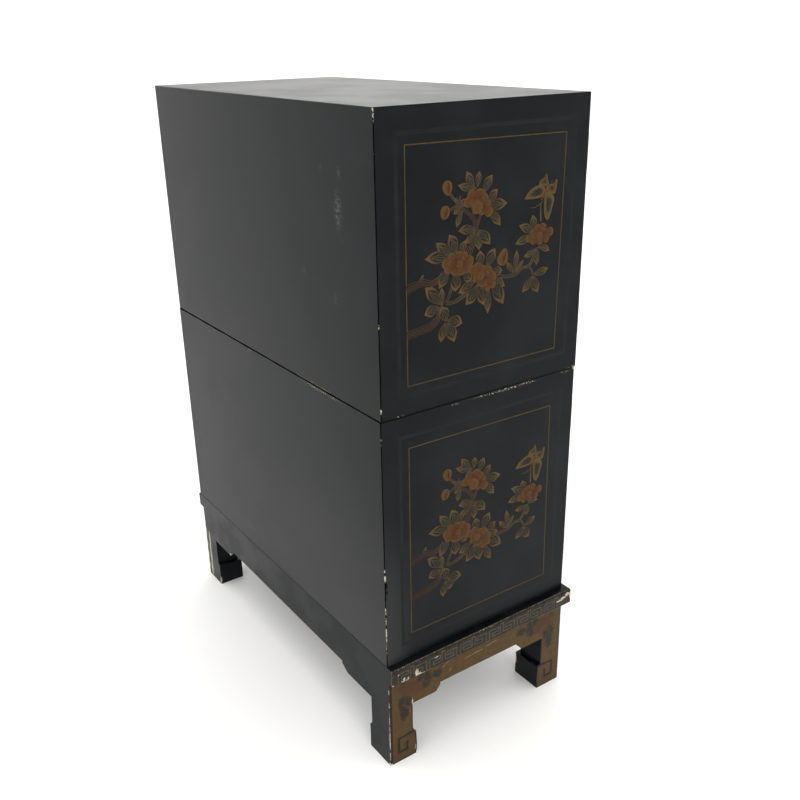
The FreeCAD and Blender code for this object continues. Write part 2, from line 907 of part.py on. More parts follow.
def write_parts():
    os.makedirs(PARTS_FOLDER, exist_ok=True)
    for piece in nodes:
        piece.Shape.exportStep(os.path.join(PARTS_FOLDER, f"{piece.Label}.step"))
        print(f"{piece.Label}: {len(piece.Shape.Solids)} solid(s), {piece.Shape.Volume:.0f} mm3")


def main():
    make_sheet()
    make_stand()
    nail = make_nail()
    lower_base = cell("stand_height")
    make_box("lower", lower_base, cell("lower_shift"), nail)
    make_box("upper", lower_base + cell("box_height"), cell("upper_shift"), nail)
    doc.recompute()
    check_document()
    write_parts()


main()
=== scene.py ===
"""Looks of a black lacquer cabinet on stand: lacquer, gilt line work, painted boughs, brass and stage."""

import math

import bpy
import numpy as np
from bpy.props import FloatProperty, FloatVectorProperty, IntProperty, PointerProperty
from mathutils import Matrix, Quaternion, Vector


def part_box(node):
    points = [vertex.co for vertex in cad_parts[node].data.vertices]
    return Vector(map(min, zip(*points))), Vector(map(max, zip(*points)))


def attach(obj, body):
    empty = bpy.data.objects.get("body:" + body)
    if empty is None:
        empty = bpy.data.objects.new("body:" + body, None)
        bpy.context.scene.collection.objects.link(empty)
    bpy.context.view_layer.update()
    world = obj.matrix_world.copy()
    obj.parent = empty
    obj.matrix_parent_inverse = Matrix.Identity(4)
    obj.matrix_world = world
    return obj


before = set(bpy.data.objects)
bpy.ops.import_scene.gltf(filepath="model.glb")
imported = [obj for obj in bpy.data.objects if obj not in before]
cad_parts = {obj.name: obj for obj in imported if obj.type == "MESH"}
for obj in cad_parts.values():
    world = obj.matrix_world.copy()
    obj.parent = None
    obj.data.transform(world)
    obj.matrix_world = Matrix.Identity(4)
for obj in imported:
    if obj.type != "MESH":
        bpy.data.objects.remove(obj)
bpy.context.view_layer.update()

bl_info = {
    "name": "Lacquer Cabinet on Stand",
    "version": (1, 0, 0),
    "blender": (4, 5, 0),
    "location": "View3D > Sidebar > Cabinet",
    "description": "Dresses a stacked black lacquer cabinet: lacquer, gilt lines, boughs, brass and stage",
    "category": "Object",
}

MM = 0.001
SUNK = 0.25  # mm that every raised line or leaf reaches under the surface it lies on
LEVELS = ("lower", "upper")
SIDES = ("left", "right")


# ---------------------------------------------------------------- sizes taken from the frame, in mm


def limits(*nodes):
    """Lowest and highest corner, in mm, of several nodes together."""
    boxes = [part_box(node) for node in nodes]
    low = np.min([np.array(low) for low, _ in boxes], axis=0) / MM
    high = np.max([np.array(high) for _, high in boxes], axis=0) / MM
    return low, high


BOARDS = ("left_side", "right_side", "top_board", "bottom_board", "back_panel")
BOX = {lv: limits(*(f"{lv}_{board}" for board in BOARDS)) for lv in LEVELS}
DOOR = {(lv, side): limits(f"{lv}_{side}_door") for lv in LEVELS for side in SIDES}
EDGE = limits("stand_top_board")
APRON = limits("stand_left_apron", "stand_right_apron", "stand_front_apron")


# ---------------------------------------------------------------- surfaces that pieces are laid on


def on_panel(corner, right):
    """Upright flat face: a point (u, v, h) in mm lies u along the level way, v up and h out of it."""
    right = np.array(right, float)
    up = np.array((0.0, 0.0, 1.0))
    out = np.cross(right, up)

    def place(p):
        return np.array(corner) + p[:, :1] * right + p[:, 1:2] * up + p[:, 2:3] * out

    return place


LOW_ROUND, TOP_ROUND = 3.0, 5.0
EDGE_HEIGHT = EDGE[1][2] - EDGE[0][2]
EDGE_FLAT = EDGE_HEIGHT - LOW_ROUND - TOP_ROUND
LOW_ARC, TOP_ARC = LOW_ROUND * math.pi / 2, TOP_ROUND * math.pi / 2


def on_edge_board(corner, right):
    """Face of the stand's edge board: v runs along its section, a quarter round, a flat and a larger round.

    With a and b the angles reached on the low and the top round, out = r(sin a - 1) + R(cos b - 1) and
    z = r(1 - cos a) + flat + R sin b; h stands off along the normal, which leans by a - 90 + b degrees."""
    right = np.array(right, float)
    up = np.array((0.0, 0.0, 1.0))
    out = np.cross(right, up)

    def place(p):
        u, v, h = p[:, 0], p[:, 1], p[:, 2]
        a = np.clip(v, 0, LOW_ARC) / LOW_ROUND
        b = np.clip(v - LOW_ARC - EDGE_FLAT, 0, TOP_ARC) / TOP_ROUND
        lean = a - math.pi / 2 + b
        off = LOW_ROUND * (np.sin(a) - 1) + TOP_ROUND * (np.cos(b) - 1) + h * np.cos(lean)
        flat = np.clip(v - LOW_ARC, 0, EDGE_FLAT)
        z = LOW_ROUND * (1 - np.cos(a)) + flat + TOP_ROUND * np.sin(b) + h * np.sin(lean)
        return np.array(corner) + u[:, None] * right + off[:, None] * out + z[:, None] * up

    return place


def show_faces(lay, box):
    """Left, right and front face of a box, each with its length; lay makes a surface out of a corner
    and a direction."""
    (west, front, low), (east, back, _) = box
    return {
        "left": (lay((west, back, low), (0, -1, 0)), back - front),
        "right": (lay((east, front, low), (0, 1, 0)), back - front),
        "front": (lay((west, front, low), (1, 0, 0)), east - west),
    }


# ---------------------------------------------------------------- closed shells worked out as arrays


def crosswise(way):
    """Unit vector a quarter turn to the left of a way."""
    return np.array((-way[1], way[0])) / np.linalg.norm(way)


def stepped(path, steps):
    """Open path with so many stations along each of its straight runs."""
    runs = [a + (b - a) * np.arange(steps)[:, None] / steps for a, b in zip(path[:-1], path[1:])]
    return np.concatenate(runs + [path[-1:]])


def shell(rings, loop=False):
    """Closed skin over rings (m, k, c) of points: each ring is joined to the next by two triangles per step,
    and the end rings are closed by a fan on their mean point, unless the rings themselves make a loop. The
    sign of the enclosed volume, the sum of a . (b x c) / 6, turns it right side out."""
    m, k, _ = rings.shape
    i = np.arange(m if loop else m - 1)[:, None]
    j = np.arange(k)[None, :]
    a, b = i * k + j, i * k + (j + 1) % k
    d, c = ((i + 1) % m) * k + j, ((i + 1) % m) * k + (j + 1) % k
    tris = [np.stack((a, b, c), -1).reshape(-1, 3), np.stack((a, c, d), -1).reshape(-1, 3)]
    points = rings.reshape(m * k, -1)
    if not loop:
        points = np.vstack((points, rings[0].mean(0), rings[-1].mean(0)))
        s, e = np.arange(k), (np.arange(k) + 1) % k
        tris.append(np.stack((np.full(k, m * k), e, s), -1))
        tris.append(np.stack((np.full(k, m * k + 1), (m - 1) * k + s, (m - 1) * k + e), -1))
    tris = np.concatenate(tris)
    p = points[tris, :3]
    volume = np.einsum("ij,ij->", p[:, 0], np.cross(p[:, 1], p[:, 2]))
    return points, tris if volume > 0 else tris[:, ::-1]


def flowing(points, steps=8):
    """Catmull-Rom curve through rows of points, whatever their columns, with so many stations per span."""
    p = np.asarray(points, float)
    p = np.vstack((2 * p[0] - p[1], p, 2 * p[-1] - p[-2]))
    a, b, c, d = p[:-3], p[1:-2], p[2:-1], p[3:]
    t = (np.arange(steps) / steps)[:, None, None]
    curve = 0.5 * (2 * b + (c - a) * t + (2 * a - 5 * b + 4 * c - d) * t**2 + (3 * b - a - 3 * c + d) * t**3)
    return np.vstack((curve.transpose(1, 0, 2).reshape(-1, p.shape[1]), p[-2]))


SECTION = np.array([(-1, 0.1), (-0.82, 0.8), (-0.4, 0.97), (0, 1), (0.4, 0.97), (0.82, 0.8), (1, 0.1)])


def strip(path, width, height, lift=0.0, loop=False, along=None):
    """Low raised band along a path of (u, v) points. At each point the normal is the mean of its two
    neighbours' normals, lengthened by 1 / cos of half the turn so that corners are mitred. Across it the
    height follows SECTION, and its flat back lies SUNK under the surface. Carries two more columns: the
    share along and across."""
    path = np.asarray(path, float)
    n = len(path)
    step = np.roll(path, -1, 0) - path
    step /= np.maximum(np.linalg.norm(step, axis=1, keepdims=True), 1e-9)
    before = np.roll(step, 1, 0)
    if not loop:
        step[-1], before[0] = step[-2], step[0]
    mean = step + before
    mean /= np.maximum(np.linalg.norm(mean, axis=1, keepdims=True), 1e-9)
    stretch = 1 / np.clip(np.einsum("ij,ij->i", mean, step), 0.5, 1)
    side = np.stack((-mean[:, 1], mean[:, 0]), -1) * stretch[:, None]
    half = np.broadcast_to(np.asarray(width, float) / 2, (n,))
    tall = np.broadcast_to(np.asarray(height, float), (n,))
    across = np.concatenate((SECTION[:, 0], (0.9, -0.9)))
    rise = np.concatenate((SECTION[:, 1], (0, 0)))
    under = np.array([0.0] * len(SECTION) + [1.0, 1.0])
    uv = path[:, None, :] + side[:, None, :] * (half[:, None] * across)[..., None]
    h = tall[:, None] * rise + lift * (1 - under) - SUNK * under
    along = np.linspace(0, 1, n) if along is None else along
    more = np.stack(np.broadcast_arrays(along[:, None], 1 - np.abs(across)[None, :]), -1)
    return shell(np.concatenate((uv, h[..., None], more), -1), loop)


def mound(outline, height, lift=0.0, rings=5):
    """Low pad: an outline (n, 2) drawn in towards its middle; at the share s of the way out it stands
    height * sqrt(1 - s^4) high, and its rim drops SUNK under the surface."""
    outline = np.asarray(outline, float)
    middle = outline.mean(0)
    s = np.linspace(0.12, 1, rings)
    s = np.append(s, 1.0)
    h = lift + height * np.sqrt(1 - np.minimum(s, 0.985) ** 4)
    h[-1] = -SUNK
    uv = middle + s[:, None, None] * (outline - middle)
    more = np.broadcast_to(s[:, None, None], (len(s), len(outline), 1))
    h = np.broadcast_to(h[:, None, None], more.shape)
    return shell(np.concatenate((uv, h, more, 1 - more), -1))


def raised(name, shells, place, body, material):
    """One piece out of many closed shells, laid on a surface, riding on a body and finished from a slot."""
    counts = np.cumsum([0] + [len(points) for points, _ in shells])
    points = np.concatenate([points for points, _ in shells])
    tris = np.concatenate([tris + start for (_, tris), start in zip(shells, counts)])
    mesh = bpy.data.meshes.new(name)
    mesh.from_pydata(place(points[:, :3]) * MM, [], tris)
    for column, attribute in ((3, "along"), (4, "inward")):
        values = mesh.attributes.new(attribute, "FLOAT", "POINT")
        values.data.foreach_set("value", points[:, column].astype(np.float32))
    mesh.shade_smooth()
    mesh.set_sharp_from_angle(angle=math.radians(50))
    mesh.materials.append(material)
    piece = bpy.data.objects.new(name, mesh)
    bpy.context.scene.collection.objects.link(piece)
    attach(piece, body)
    return piece


# ---------------------------------------------------------------- shader building


def put(tree, kind, inputs=None, **fields):
    """Adds a shader node: fields are its own settings, inputs maps a socket to a value or another socket."""
    node = tree.nodes.new("ShaderNode" + kind)
    for key, value in fields.items():
        setattr(node, key, value)
    for key, value in (inputs or {}).items():
        if isinstance(value, bpy.types.NodeSocket):
            tree.links.new(value, node.inputs[key])
        else:
            node.inputs[key].default_value = value
    return node


def calc(tree, operation, *values, clamp=False):
    return put(tree, "Math", dict(enumerate(values)), operation=operation, use_clamp=clamp).outputs[0]


def times(tree, a, b):
    return calc(tree, "MULTIPLY", a, b)


def minus(tree, a, b, clamp=False):
    return calc(tree, "SUBTRACT", a, b, clamp=clamp)


def most(tree, a, b):
    return calc(tree, "MAXIMUM", a, b)


def vcalc(tree, operation, *values):
    node = put(tree, "VectorMath", dict(enumerate(values)), operation=operation)
    return node.outputs["Value" if operation in ("LENGTH", "DISTANCE", "DOT_PRODUCT") else "Vector"]


def eased(tree, value, low, high, to_low=0.0, to_high=1.0):
    inputs = {"Value": value, "From Min": low, "From Max": high, "To Min": to_low, "To Max": to_high}
    return put(tree, "MapRange", inputs, interpolation_type="SMOOTHSTEP").outputs["Result"]


def blended(tree, share, a, b):
    return put(tree, "Mix", {0: share, 6: a, 7: b}, data_type="RGBA").outputs[2]


def noise(tree, place, scale, detail=3.0, rough=0.55):
    inputs = {"Vector": place, "Scale": scale, "Detail": detail, "Roughness": rough}
    return put(tree, "TexNoise", inputs).outputs


def stretched(tree, place, scale):
    return vcalc(tree, "MULTIPLY", place, scale)


def new_group(name, ins, outs):
    """Shader node group with inputs (name, kind, default) and outputs (name, kind)."""
    tree = bpy.data.node_groups.new(name, "ShaderNodeTree")
    for label, kind, default in ins:
        socket = tree.interface.new_socket(label, in_out="INPUT", socket_type="NodeSocket" + kind)
        socket.default_value = default
    for label, kind in outs:
        tree.interface.new_socket(label, in_out="OUTPUT", socket_type="NodeSocket" + kind)
    entry = tree.nodes.new("NodeGroupInput").outputs
    leave = tree.nodes.new("NodeGroupOutput").inputs
    return tree, entry, leave


def place_in_mm(tree):
    """Object coordinates in millimetres."""
    spot = put(tree, "TexCoord").outputs["Object"]
    return put(tree, "VectorMath", {0: spot, "Scale": 1 / MM}, operation="SCALE").outputs[0]


def make_edge_wear():
    """Wear along the edges of a box: on a face the nearest edge lies as far as the middle one of the three
    distances to the box's planes. Chips show where that is less than a reach, broken up by noise."""
    ins = [
        ("Low", "Vector", (0, 0, 0)), ("High", "Vector", (1, 1, 1)), ("Reach", "Float", 1.0),
        ("Boost", "Float", 0.0)
    ]
    tree, entry, leave = new_group("edge_wear", ins, [("Mask", "Float"), ("Edge", "Float")])
    here = place_in_mm(tree)
    below = vcalc(tree, "ABSOLUTE", vcalc(tree, "SUBTRACT", here, entry["Low"]))
    above = vcalc(tree, "ABSOLUTE", vcalc(tree, "SUBTRACT", entry["High"], here))
    gap = put(tree, "SeparateXYZ", {0: vcalc(tree, "MINIMUM", below, above)}).outputs
    nearer = calc(tree, "MINIMUM", gap[0], gap[1])
    farther = most(tree, gap[0], gap[1])
    edge = most(tree, nearer, calc(tree, "MINIMUM", farther, gap[2]))
    stretch = eased(tree, noise(tree, here, 0.021, 2.0)[0], 0.50, 0.72, 0.12, 1.0)
    gaps = eased(tree, noise(tree, here, 0.15, 3.0, 0.6)[0], 0.40, 0.52)
    reach = times(tree, times(tree, entry["Reach"], gaps), calc(tree, "ADD", stretch, entry["Boost"]))
    flakes = minus(tree, noise(tree, here, 0.24, 4.0, 0.7)[0], 0.36)
    room = minus(tree, times(tree, times(tree, reach, 7.0), flakes), edge)
    tree.links.new(eased(tree, room, -0.6, 0.6), leave["Mask"])
    tree.links.new(edge, leave["Edge"])
    return tree


def make_chip_spot():
    """One worn place: an ellipsoid of a given size, in mm, about a point, with a ragged outline."""
    ins = [
        ("Before", "Float", 0.0), ("Middle", "Vector", (0, 0, 0)), ("Size", "Vector", (5, 5, 5)),
        ("Soft", "Float", 0.15),
    ]
    tree, entry, leave = new_group("chip_spot", ins, [("Mask", "Float")])
    here = place_in_mm(tree)
    shake = vcalc(tree, "SUBTRACT", noise(tree, here, 0.5, 5.0, 0.75)[1], (0.5, 0.5, 0.5))
    here = vcalc(tree, "ADD", here, vcalc(tree, "MULTIPLY", shake, (7.0, 7.0, 7.0)))
    away = vcalc(tree, "SUBTRACT", here, entry["Middle"])
    out = vcalc(tree, "LENGTH", vcalc(tree, "DIVIDE", away, entry["Size"]))
    inner = minus(tree, 1.0, entry["Soft"])
    spot = put(
        tree, "MapRange", {"Value": out, "From Min": 1.0, "From Max": inner}, interpolation_type="SMOOTHSTEP"
    )
    tree.links.new(most(tree, entry["Before"], spot.outputs["Result"]), leave["Mask"])
    return tree


def make_lacquer_skin():
    """Hand-laid lacquer: broad clouds and fine dust as masks, and the faint pitted skin as a height."""
    ins = [("Cloud Size", "Float", 90.0), ("Grain", "Float", 1.0)]
    tree, entry, leave = new_group(
        "lacquer_skin", ins, [("Cloud", "Float"), ("Dust", "Float"), ("Skin", "Float")]
    )
    here = place_in_mm(tree)
    cloud = noise(tree, here, calc(tree, "DIVIDE", 1.0, entry["Cloud Size"]), 4.0)[0]
    tree.links.new(eased(tree, cloud, 0.36, 0.66), leave["Cloud"])
    dust = noise(tree, here, 0.9, 2.0, 0.6)[0]
    tree.links.new(times(tree, eased(tree, dust, 0.64, 0.74), eased(tree, cloud, 0.45, 0.7)), leave["Dust"])
    wave = noise(tree, stretched(tree, here, (1.0, 1.0, 0.35)), 0.12, 2.0)[0]
    pits = noise(tree, here, 1.1, 2.0)[0]
    skin = calc(tree, "ADD", times(tree, wave, 0.7), times(tree, pits, entry["Grain"]))
    tree.links.new(skin, leave["Skin"])
    return tree


EFFECTS = {}


def effect(tree, name, inputs=None):
    """Places a shared node group, built the first time it is asked for, with its own values."""
    makers = {"edge_wear": make_edge_wear, "chip_spot": make_chip_spot, "lacquer_skin": make_lacquer_skin}
    if name not in EFFECTS:
        EFFECTS[name] = makers[name]()
    return put(tree, "Group", inputs, node_tree=EFFECTS[name]).outputs


def spots(tree, places, soft=0.4):
    """Chain of worn places (x, y, z, its size along x, y and z, and a softness of its own if need be), in
    mm; gives one mask. A softness over 1 makes a place faint."""
    mask = 0.0
    for place in places:
        inputs = {
            "Before": mask, "Middle": place[:3], "Size": place[3:6],
            "Soft": place[6] if len(place) > 6 else soft
        }
        mask = effect(tree, "chip_spot", inputs)["Mask"]
    return mask


def new_material(name):
    material = bpy.data.materials.new(name)
    material.use_nodes = True
    tree = material.node_tree
    tree.nodes.clear()
    surface = tree.nodes.new("ShaderNodeBsdfPrincipled")
    leave = tree.nodes.new("ShaderNodeOutputMaterial")
    tree.links.new(surface.outputs["BSDF"], leave.inputs["Surface"])
    return material, tree, surface


def finish_surface(tree, surface, colour, roughness, height=None, bump=0.3, distance=0.0002, metal=None):
    for socket, value in (("Base Color", colour), ("Roughness", roughness), ("Metallic", metal)):
        if isinstance(value, bpy.types.NodeSocket):
            tree.links.new(value, surface.inputs[socket])
        elif value is not None:
            surface.inputs[socket].default_value = value
    if height is not None:
        node = put(tree, "Bump", {"Height": height, "Strength": bump, "Distance": distance})
        tree.links.new(node.outputs["Normal"], surface.inputs["Normal"])


BLACK = (0.0018, 0.0026, 0.0036)
CREAM = (0.47, 0.445, 0.34, 1)
GROUND = (0.27, 0.245, 0.175, 1)
RED = ((0.10, 0.016, 0.009, 1), (0.15, 0.028, 0.014, 1))


def bared(tree, mask):
    """The part of a chip where the ground shows."""
    return eased(tree, mask, 0.42, 0.6)


def chipped(tree, colour, mask):
    """Colour with chips: a dark rim round the bared cream ground, itself a little dirty."""
    colour = blended(tree, eased(tree, mask, 0.02, 0.3), colour, (0.006, 0.005, 0.004, 1))
    tone = noise(tree, place_in_mm(tree), 0.35, 3.0)[0]
    return blended(
        tree, bared(tree, mask), colour, blended(tree, eased(tree, tone, 0.4, 0.62), GROUND, CREAM)
    )


def wear_mask(tree, limits, reach, boosts, chips, flecks=()):
    """Masks of the bared ground and of the painted shade and grime in the edges, a dark line within about a
    millimetre and a half of the box's edges; chips are single places, flecks strewn over a stretch."""
    low, high = limits
    boost = times(tree, spots(tree, boosts, 0.9), 2.6) if len(boosts) else 0.0
    wear = effect(
        tree, "edge_wear", {"Low": tuple(low), "High": tuple(high), "Reach": reach, "Boost": boost}
    )
    mask = most(tree, wear["Mask"], spots(tree, chips)) if len(chips) else wear["Mask"]
    if len(flecks):
        grain = noise(tree, place_in_mm(tree), 0.42, 4.0, 0.75)[0]
        strewn = times(tree, spots(tree, flecks, 0.8), eased(tree, grain, 0.52, 0.6))
        mask = most(tree, mask, strewn)
    # The second mask is painted shade along the box's edges, partly grime.
    return mask, eased(tree, wear["Edge"], 1.5, 0.9)


def beyond(tree, low, high):
    """How far, in mm, a point lies outside of a box given by two corners; negative inside."""
    low, high = np.array(low, float), np.array(high, float)
    here = vcalc(tree, "ABSOLUTE", vcalc(tree, "SUBTRACT", place_in_mm(tree), tuple((low + high) / 2)))
    gap = put(tree, "SeparateXYZ", {0: vcalc(tree, "SUBTRACT", here, tuple((high - low) / 2))}).outputs
    return most(tree, gap[0], most(tree, gap[1], gap[2]))


def black_ground(tree, skin):
    """Black lacquer: clouded, with a little dust."""
    black = tuple(bpy.context.scene.cabinet_finish.black)
    dusty = tuple(c * 1.6 + 0.004 for c in black) + (1,)
    colour = blended(tree, times(tree, skin["Cloud"], 0.5), black + (1,), dusty)
    return blended(tree, times(tree, skin["Dust"], 0.25), colour, (0.1, 0.1, 0.09, 1))


def lacquered(tree, surface, colour, mask, skin, rough=(0.33, 0.37), shade_and_grime=None, gap_shade=None):
    """Finish shared by all lacquers: chips are matt and lie lower. The painted shade, partly grime, in the
    edges and joints and the painted shade of open gaps are black metal, which mirrors nothing, so they read
    as unlit; the gap shade stays black across a chip too."""
    bare, dark = bared(tree, mask), None
    # Painted shade, partly grime: near-black where the edges and the joint lie in shade.
    if shade_and_grime is not None:
        colour = blended(tree, shade_and_grime, colour, (0.001, 0.001, 0.001, 1))
        dark = minus(tree, shade_and_grime, bare, clamp=True)
    colour = chipped(tree, colour, mask)
    # Painted shade of the open gap: black.
    if gap_shade is not None:
        colour = blended(tree, gap_shade, colour, (0.001, 0.001, 0.001, 1))
        dark = most(tree, dark, gap_shade)
    base = eased(tree, skin["Cloud"], 0.0, 1.0, *rough)
    roughness = put(tree, "Mix", {0: bare, 2: base, 3: 0.85}).outputs[0]
    height = minus(tree, times(tree, skin["Skin"], 0.12), bare)
    surface.inputs["IOR"].default_value = 1.2
    # Painted shade: the shaded parts are black metal, which reflects nothing.
    finish_surface(tree, surface, colour, roughness, height, 0.35, metal=dark)


def black_lacquer(
    name, limits, red=None, reach=0.5, boosts=(), chips=(), flecks=(), nicks=(), scuffs=(), painted_sheen=(),
    seam=None,
):
    """Satin black lacquer, chipped along the edges of its box. red gives the box within which it is dark
    red, seam the height of an open joint, along which a black band of painted shade and grime is laid; the
    lists are worn places, see spots, and last the places of a lighter grey painted reflection."""
    material, tree, surface = new_material(name)
    skin = effect(tree, "lacquer_skin", {"Cloud Size": 110.0, "Grain": 0.5})
    colour = black_ground(tree, skin)
    # Painted reflection: a lighter grey patch where the face would mirror the bright room.
    if len(painted_sheen):
        colour = blended(tree, times(tree, spots(tree, painted_sheen, 0.95), 0.5), colour, (0.043, 0.043, 0.043, 1))
    if len(scuffs):
        streak = noise(tree, stretched(tree, place_in_mm(tree), (0.45, 1.0, 1.1)), 0.36, 4.0, 0.7)[0]
        scuff = times(tree, spots(tree, scuffs, 0.7), eased(tree, streak, 0.44, 0.56))
        colour = blended(tree, times(tree, scuff, 0.62), colour, (0.085, 0.09, 0.08, 1))
    if red is not None:
        inside = eased(tree, beyond(tree, *red), 0.15, -0.15)
        colour = blended(tree, inside, colour, blended(tree, skin["Cloud"], *RED))
    mask, shade_and_grime = wear_mask(tree, limits, reach, boosts, chips, flecks)
    gap_shade = None
    # Painted shade, partly grime, of the open joint between the boxes: a dark band and a black line at the
    # seam's height, wider towards the east, and black nicks.
    if seam is not None:
        along, _, height = put(tree, "SeparateXYZ", {0: place_in_mm(tree)}).outputs
        gap = calc(tree, "ABSOLUTE", minus(tree, height, seam))
        gap = minus(tree, gap, eased(tree, along, -250, 250, 0.1, 1.1))
        shade_and_grime = most(tree, shade_and_grime, eased(tree, gap, 2.3, 1.4))
        gap_shade = most(tree, eased(tree, gap, 1.2, 0.8), spots(tree, nicks))
    lacquered(tree, surface, colour, mask, skin, shade_and_grime=shade_and_grime, gap_shade=gap_shade)
    return material


def stand_lacquer(name, limits, outer, reach=0.5, boosts=(), chips=(), brown=False):
    """Black lacquer whose show faces, outside of the box outer, are gilt brown: bronze aprons, dark edge."""
    material, tree, surface = new_material(name)
    skin = effect(tree, "lacquer_skin", {"Cloud Size": 60.0, "Grain": 0.8})
    here = place_in_mm(tree)
    out = beyond(tree, *outer)
    fine = noise(tree, here, 0.11, 5.0, 0.62)[0]
    streak = noise(tree, here, 0.45, 4.0, 0.7)[0]
    if brown:
        gold = blended(
            tree, eased(tree, fine, 0.35, 0.68), (0.0115, 0.0095, 0.0072, 1), (0.025, 0.0203, 0.0145, 1)
        )
        rim = eased(tree, calc(tree, "ABSOLUTE", minus(tree, out, 0.55)), 0.75, 0.45)
        rim = times(tree, rim, eased(tree, streak, 0.44, 0.6))
        gold = blended(tree, times(tree, rim, 0.8), gold, (0.165, 0.132, 0.078, 1))
    else:
        gold = blended(
            tree, eased(tree, fine, 0.3, 0.7), (0.050, 0.0285, 0.0078, 1), (0.068, 0.0395, 0.0112, 1)
        )
        broad = noise(tree, stretched(tree, here, (1.0, 1.0, 1.6)), 0.02, 3.0)[0]
        ruddy = spots(
            tree, [(x, y, 136, 30, 62, 36) for x in (WEST, EAST) for y in (FRONT + 42, BACK - 42)], 0.95
        )
        ruddy = most(tree, times(tree, eased(tree, broad, 0.48, 0.7), 0.5), ruddy)
        gold = blended(tree, times(tree, ruddy, 0.75), gold, (0.050, 0.0215, 0.0095, 1))
        height = put(tree, "SeparateXYZ", {0: here}).outputs[2]
        gold = blended(
            tree, times(tree, eased(tree, height, 70.0, 0.0), 0.45), gold, (0.040, 0.024, 0.0085, 1)
        )
        rubbed = eased(tree, streak, 0.66, 0.76)
        gold = blended(tree, times(tree, rubbed, 0.7), gold, (0.02, 0.016, 0.01, 1))
    colour = blended(tree, eased(tree, out, 0.15, -0.15), gold, black_ground(tree, skin))
    lacquered(tree, surface, colour, wear_mask(tree, limits, reach, boosts, chips)[0], skin, (0.3, 0.42))
    return material


def paint(
    name, dull, bright, roughness=0.5, spread=(0.35, 0.7), scale=0.16, follow="along", share=0.6, metal=0.0,
    chips=(),
):
    """Hand-laid paint whose tone follows a piece's own attribute and a fine noise."""
    material, tree, surface = new_material(name)
    here = place_in_mm(tree)
    tone = noise(tree, here, scale, 4.0, 0.65)[0]
    lead = put(tree, "Attribute", attribute_name=follow, attribute_type="GEOMETRY").outputs["Fac"]
    mix = calc(tree, "ADD", times(tree, lead, share), times(tree, tone, 1 - share))
    colour = blended(tree, eased(tree, mix, *spread), dull + (1,), bright + (1,))
    worn = eased(tree, noise(tree, here, 0.7, 3.0, 0.7)[0], 0.62, 0.75)
    colour = blended(tree, times(tree, worn, 0.55), colour, (0.012, 0.01, 0.007, 1))
    rough = eased(tree, tone, 0.3, 0.7, roughness - 0.08, roughness + 0.1)
    if len(chips):
        colour = chipped(tree, colour, spots(tree, chips))
    if not metal:
        surface.inputs["IOR"].default_value = 1.2
    finish_surface(tree, surface, colour, rough, minus(tree, tone, worn), 0.4, 0.0001, metal)
    return material


(WEST, FRONT, _), (EAST, BACK, _) = EDGE
# Chips of the stand's edge board, which the key pattern shares.
EDGE_CHIPS = [
    (WEST, 168.5, 171.5, 2.5, 2.4, 4.6), (WEST, 172, 167.5, 2.5, 2.4, 3.4),
    (WEST, 160.5, 170.5, 2.5, 2.1, 3.6), (WEST, 163.5, 167.5, 2.5, 2, 2.4), (WEST, 144, 173, 2.5, 3.6, 9.5),
    (WEST, 139, 168.5, 2.5, 4.6, 3.8), (WEST, 132, 167, 2.5, 6, 2), (WEST, BACK - 1, 168, 2, 2, 2.8),
    (WEST, 179, 184, 2.4, 1.6, 1.2), (WEST, -161, 180.5, 2.5, 9, 2.2), (WEST, -171, 183, 2.5, 8, 3.2),
    (WEST, -180, 187, 3.5, 6, 4.5), (WEST + 1, FRONT + 2, 183, 5, 4.6, 10), (WEST, 106, 185, 2, 5, 1.2),
]


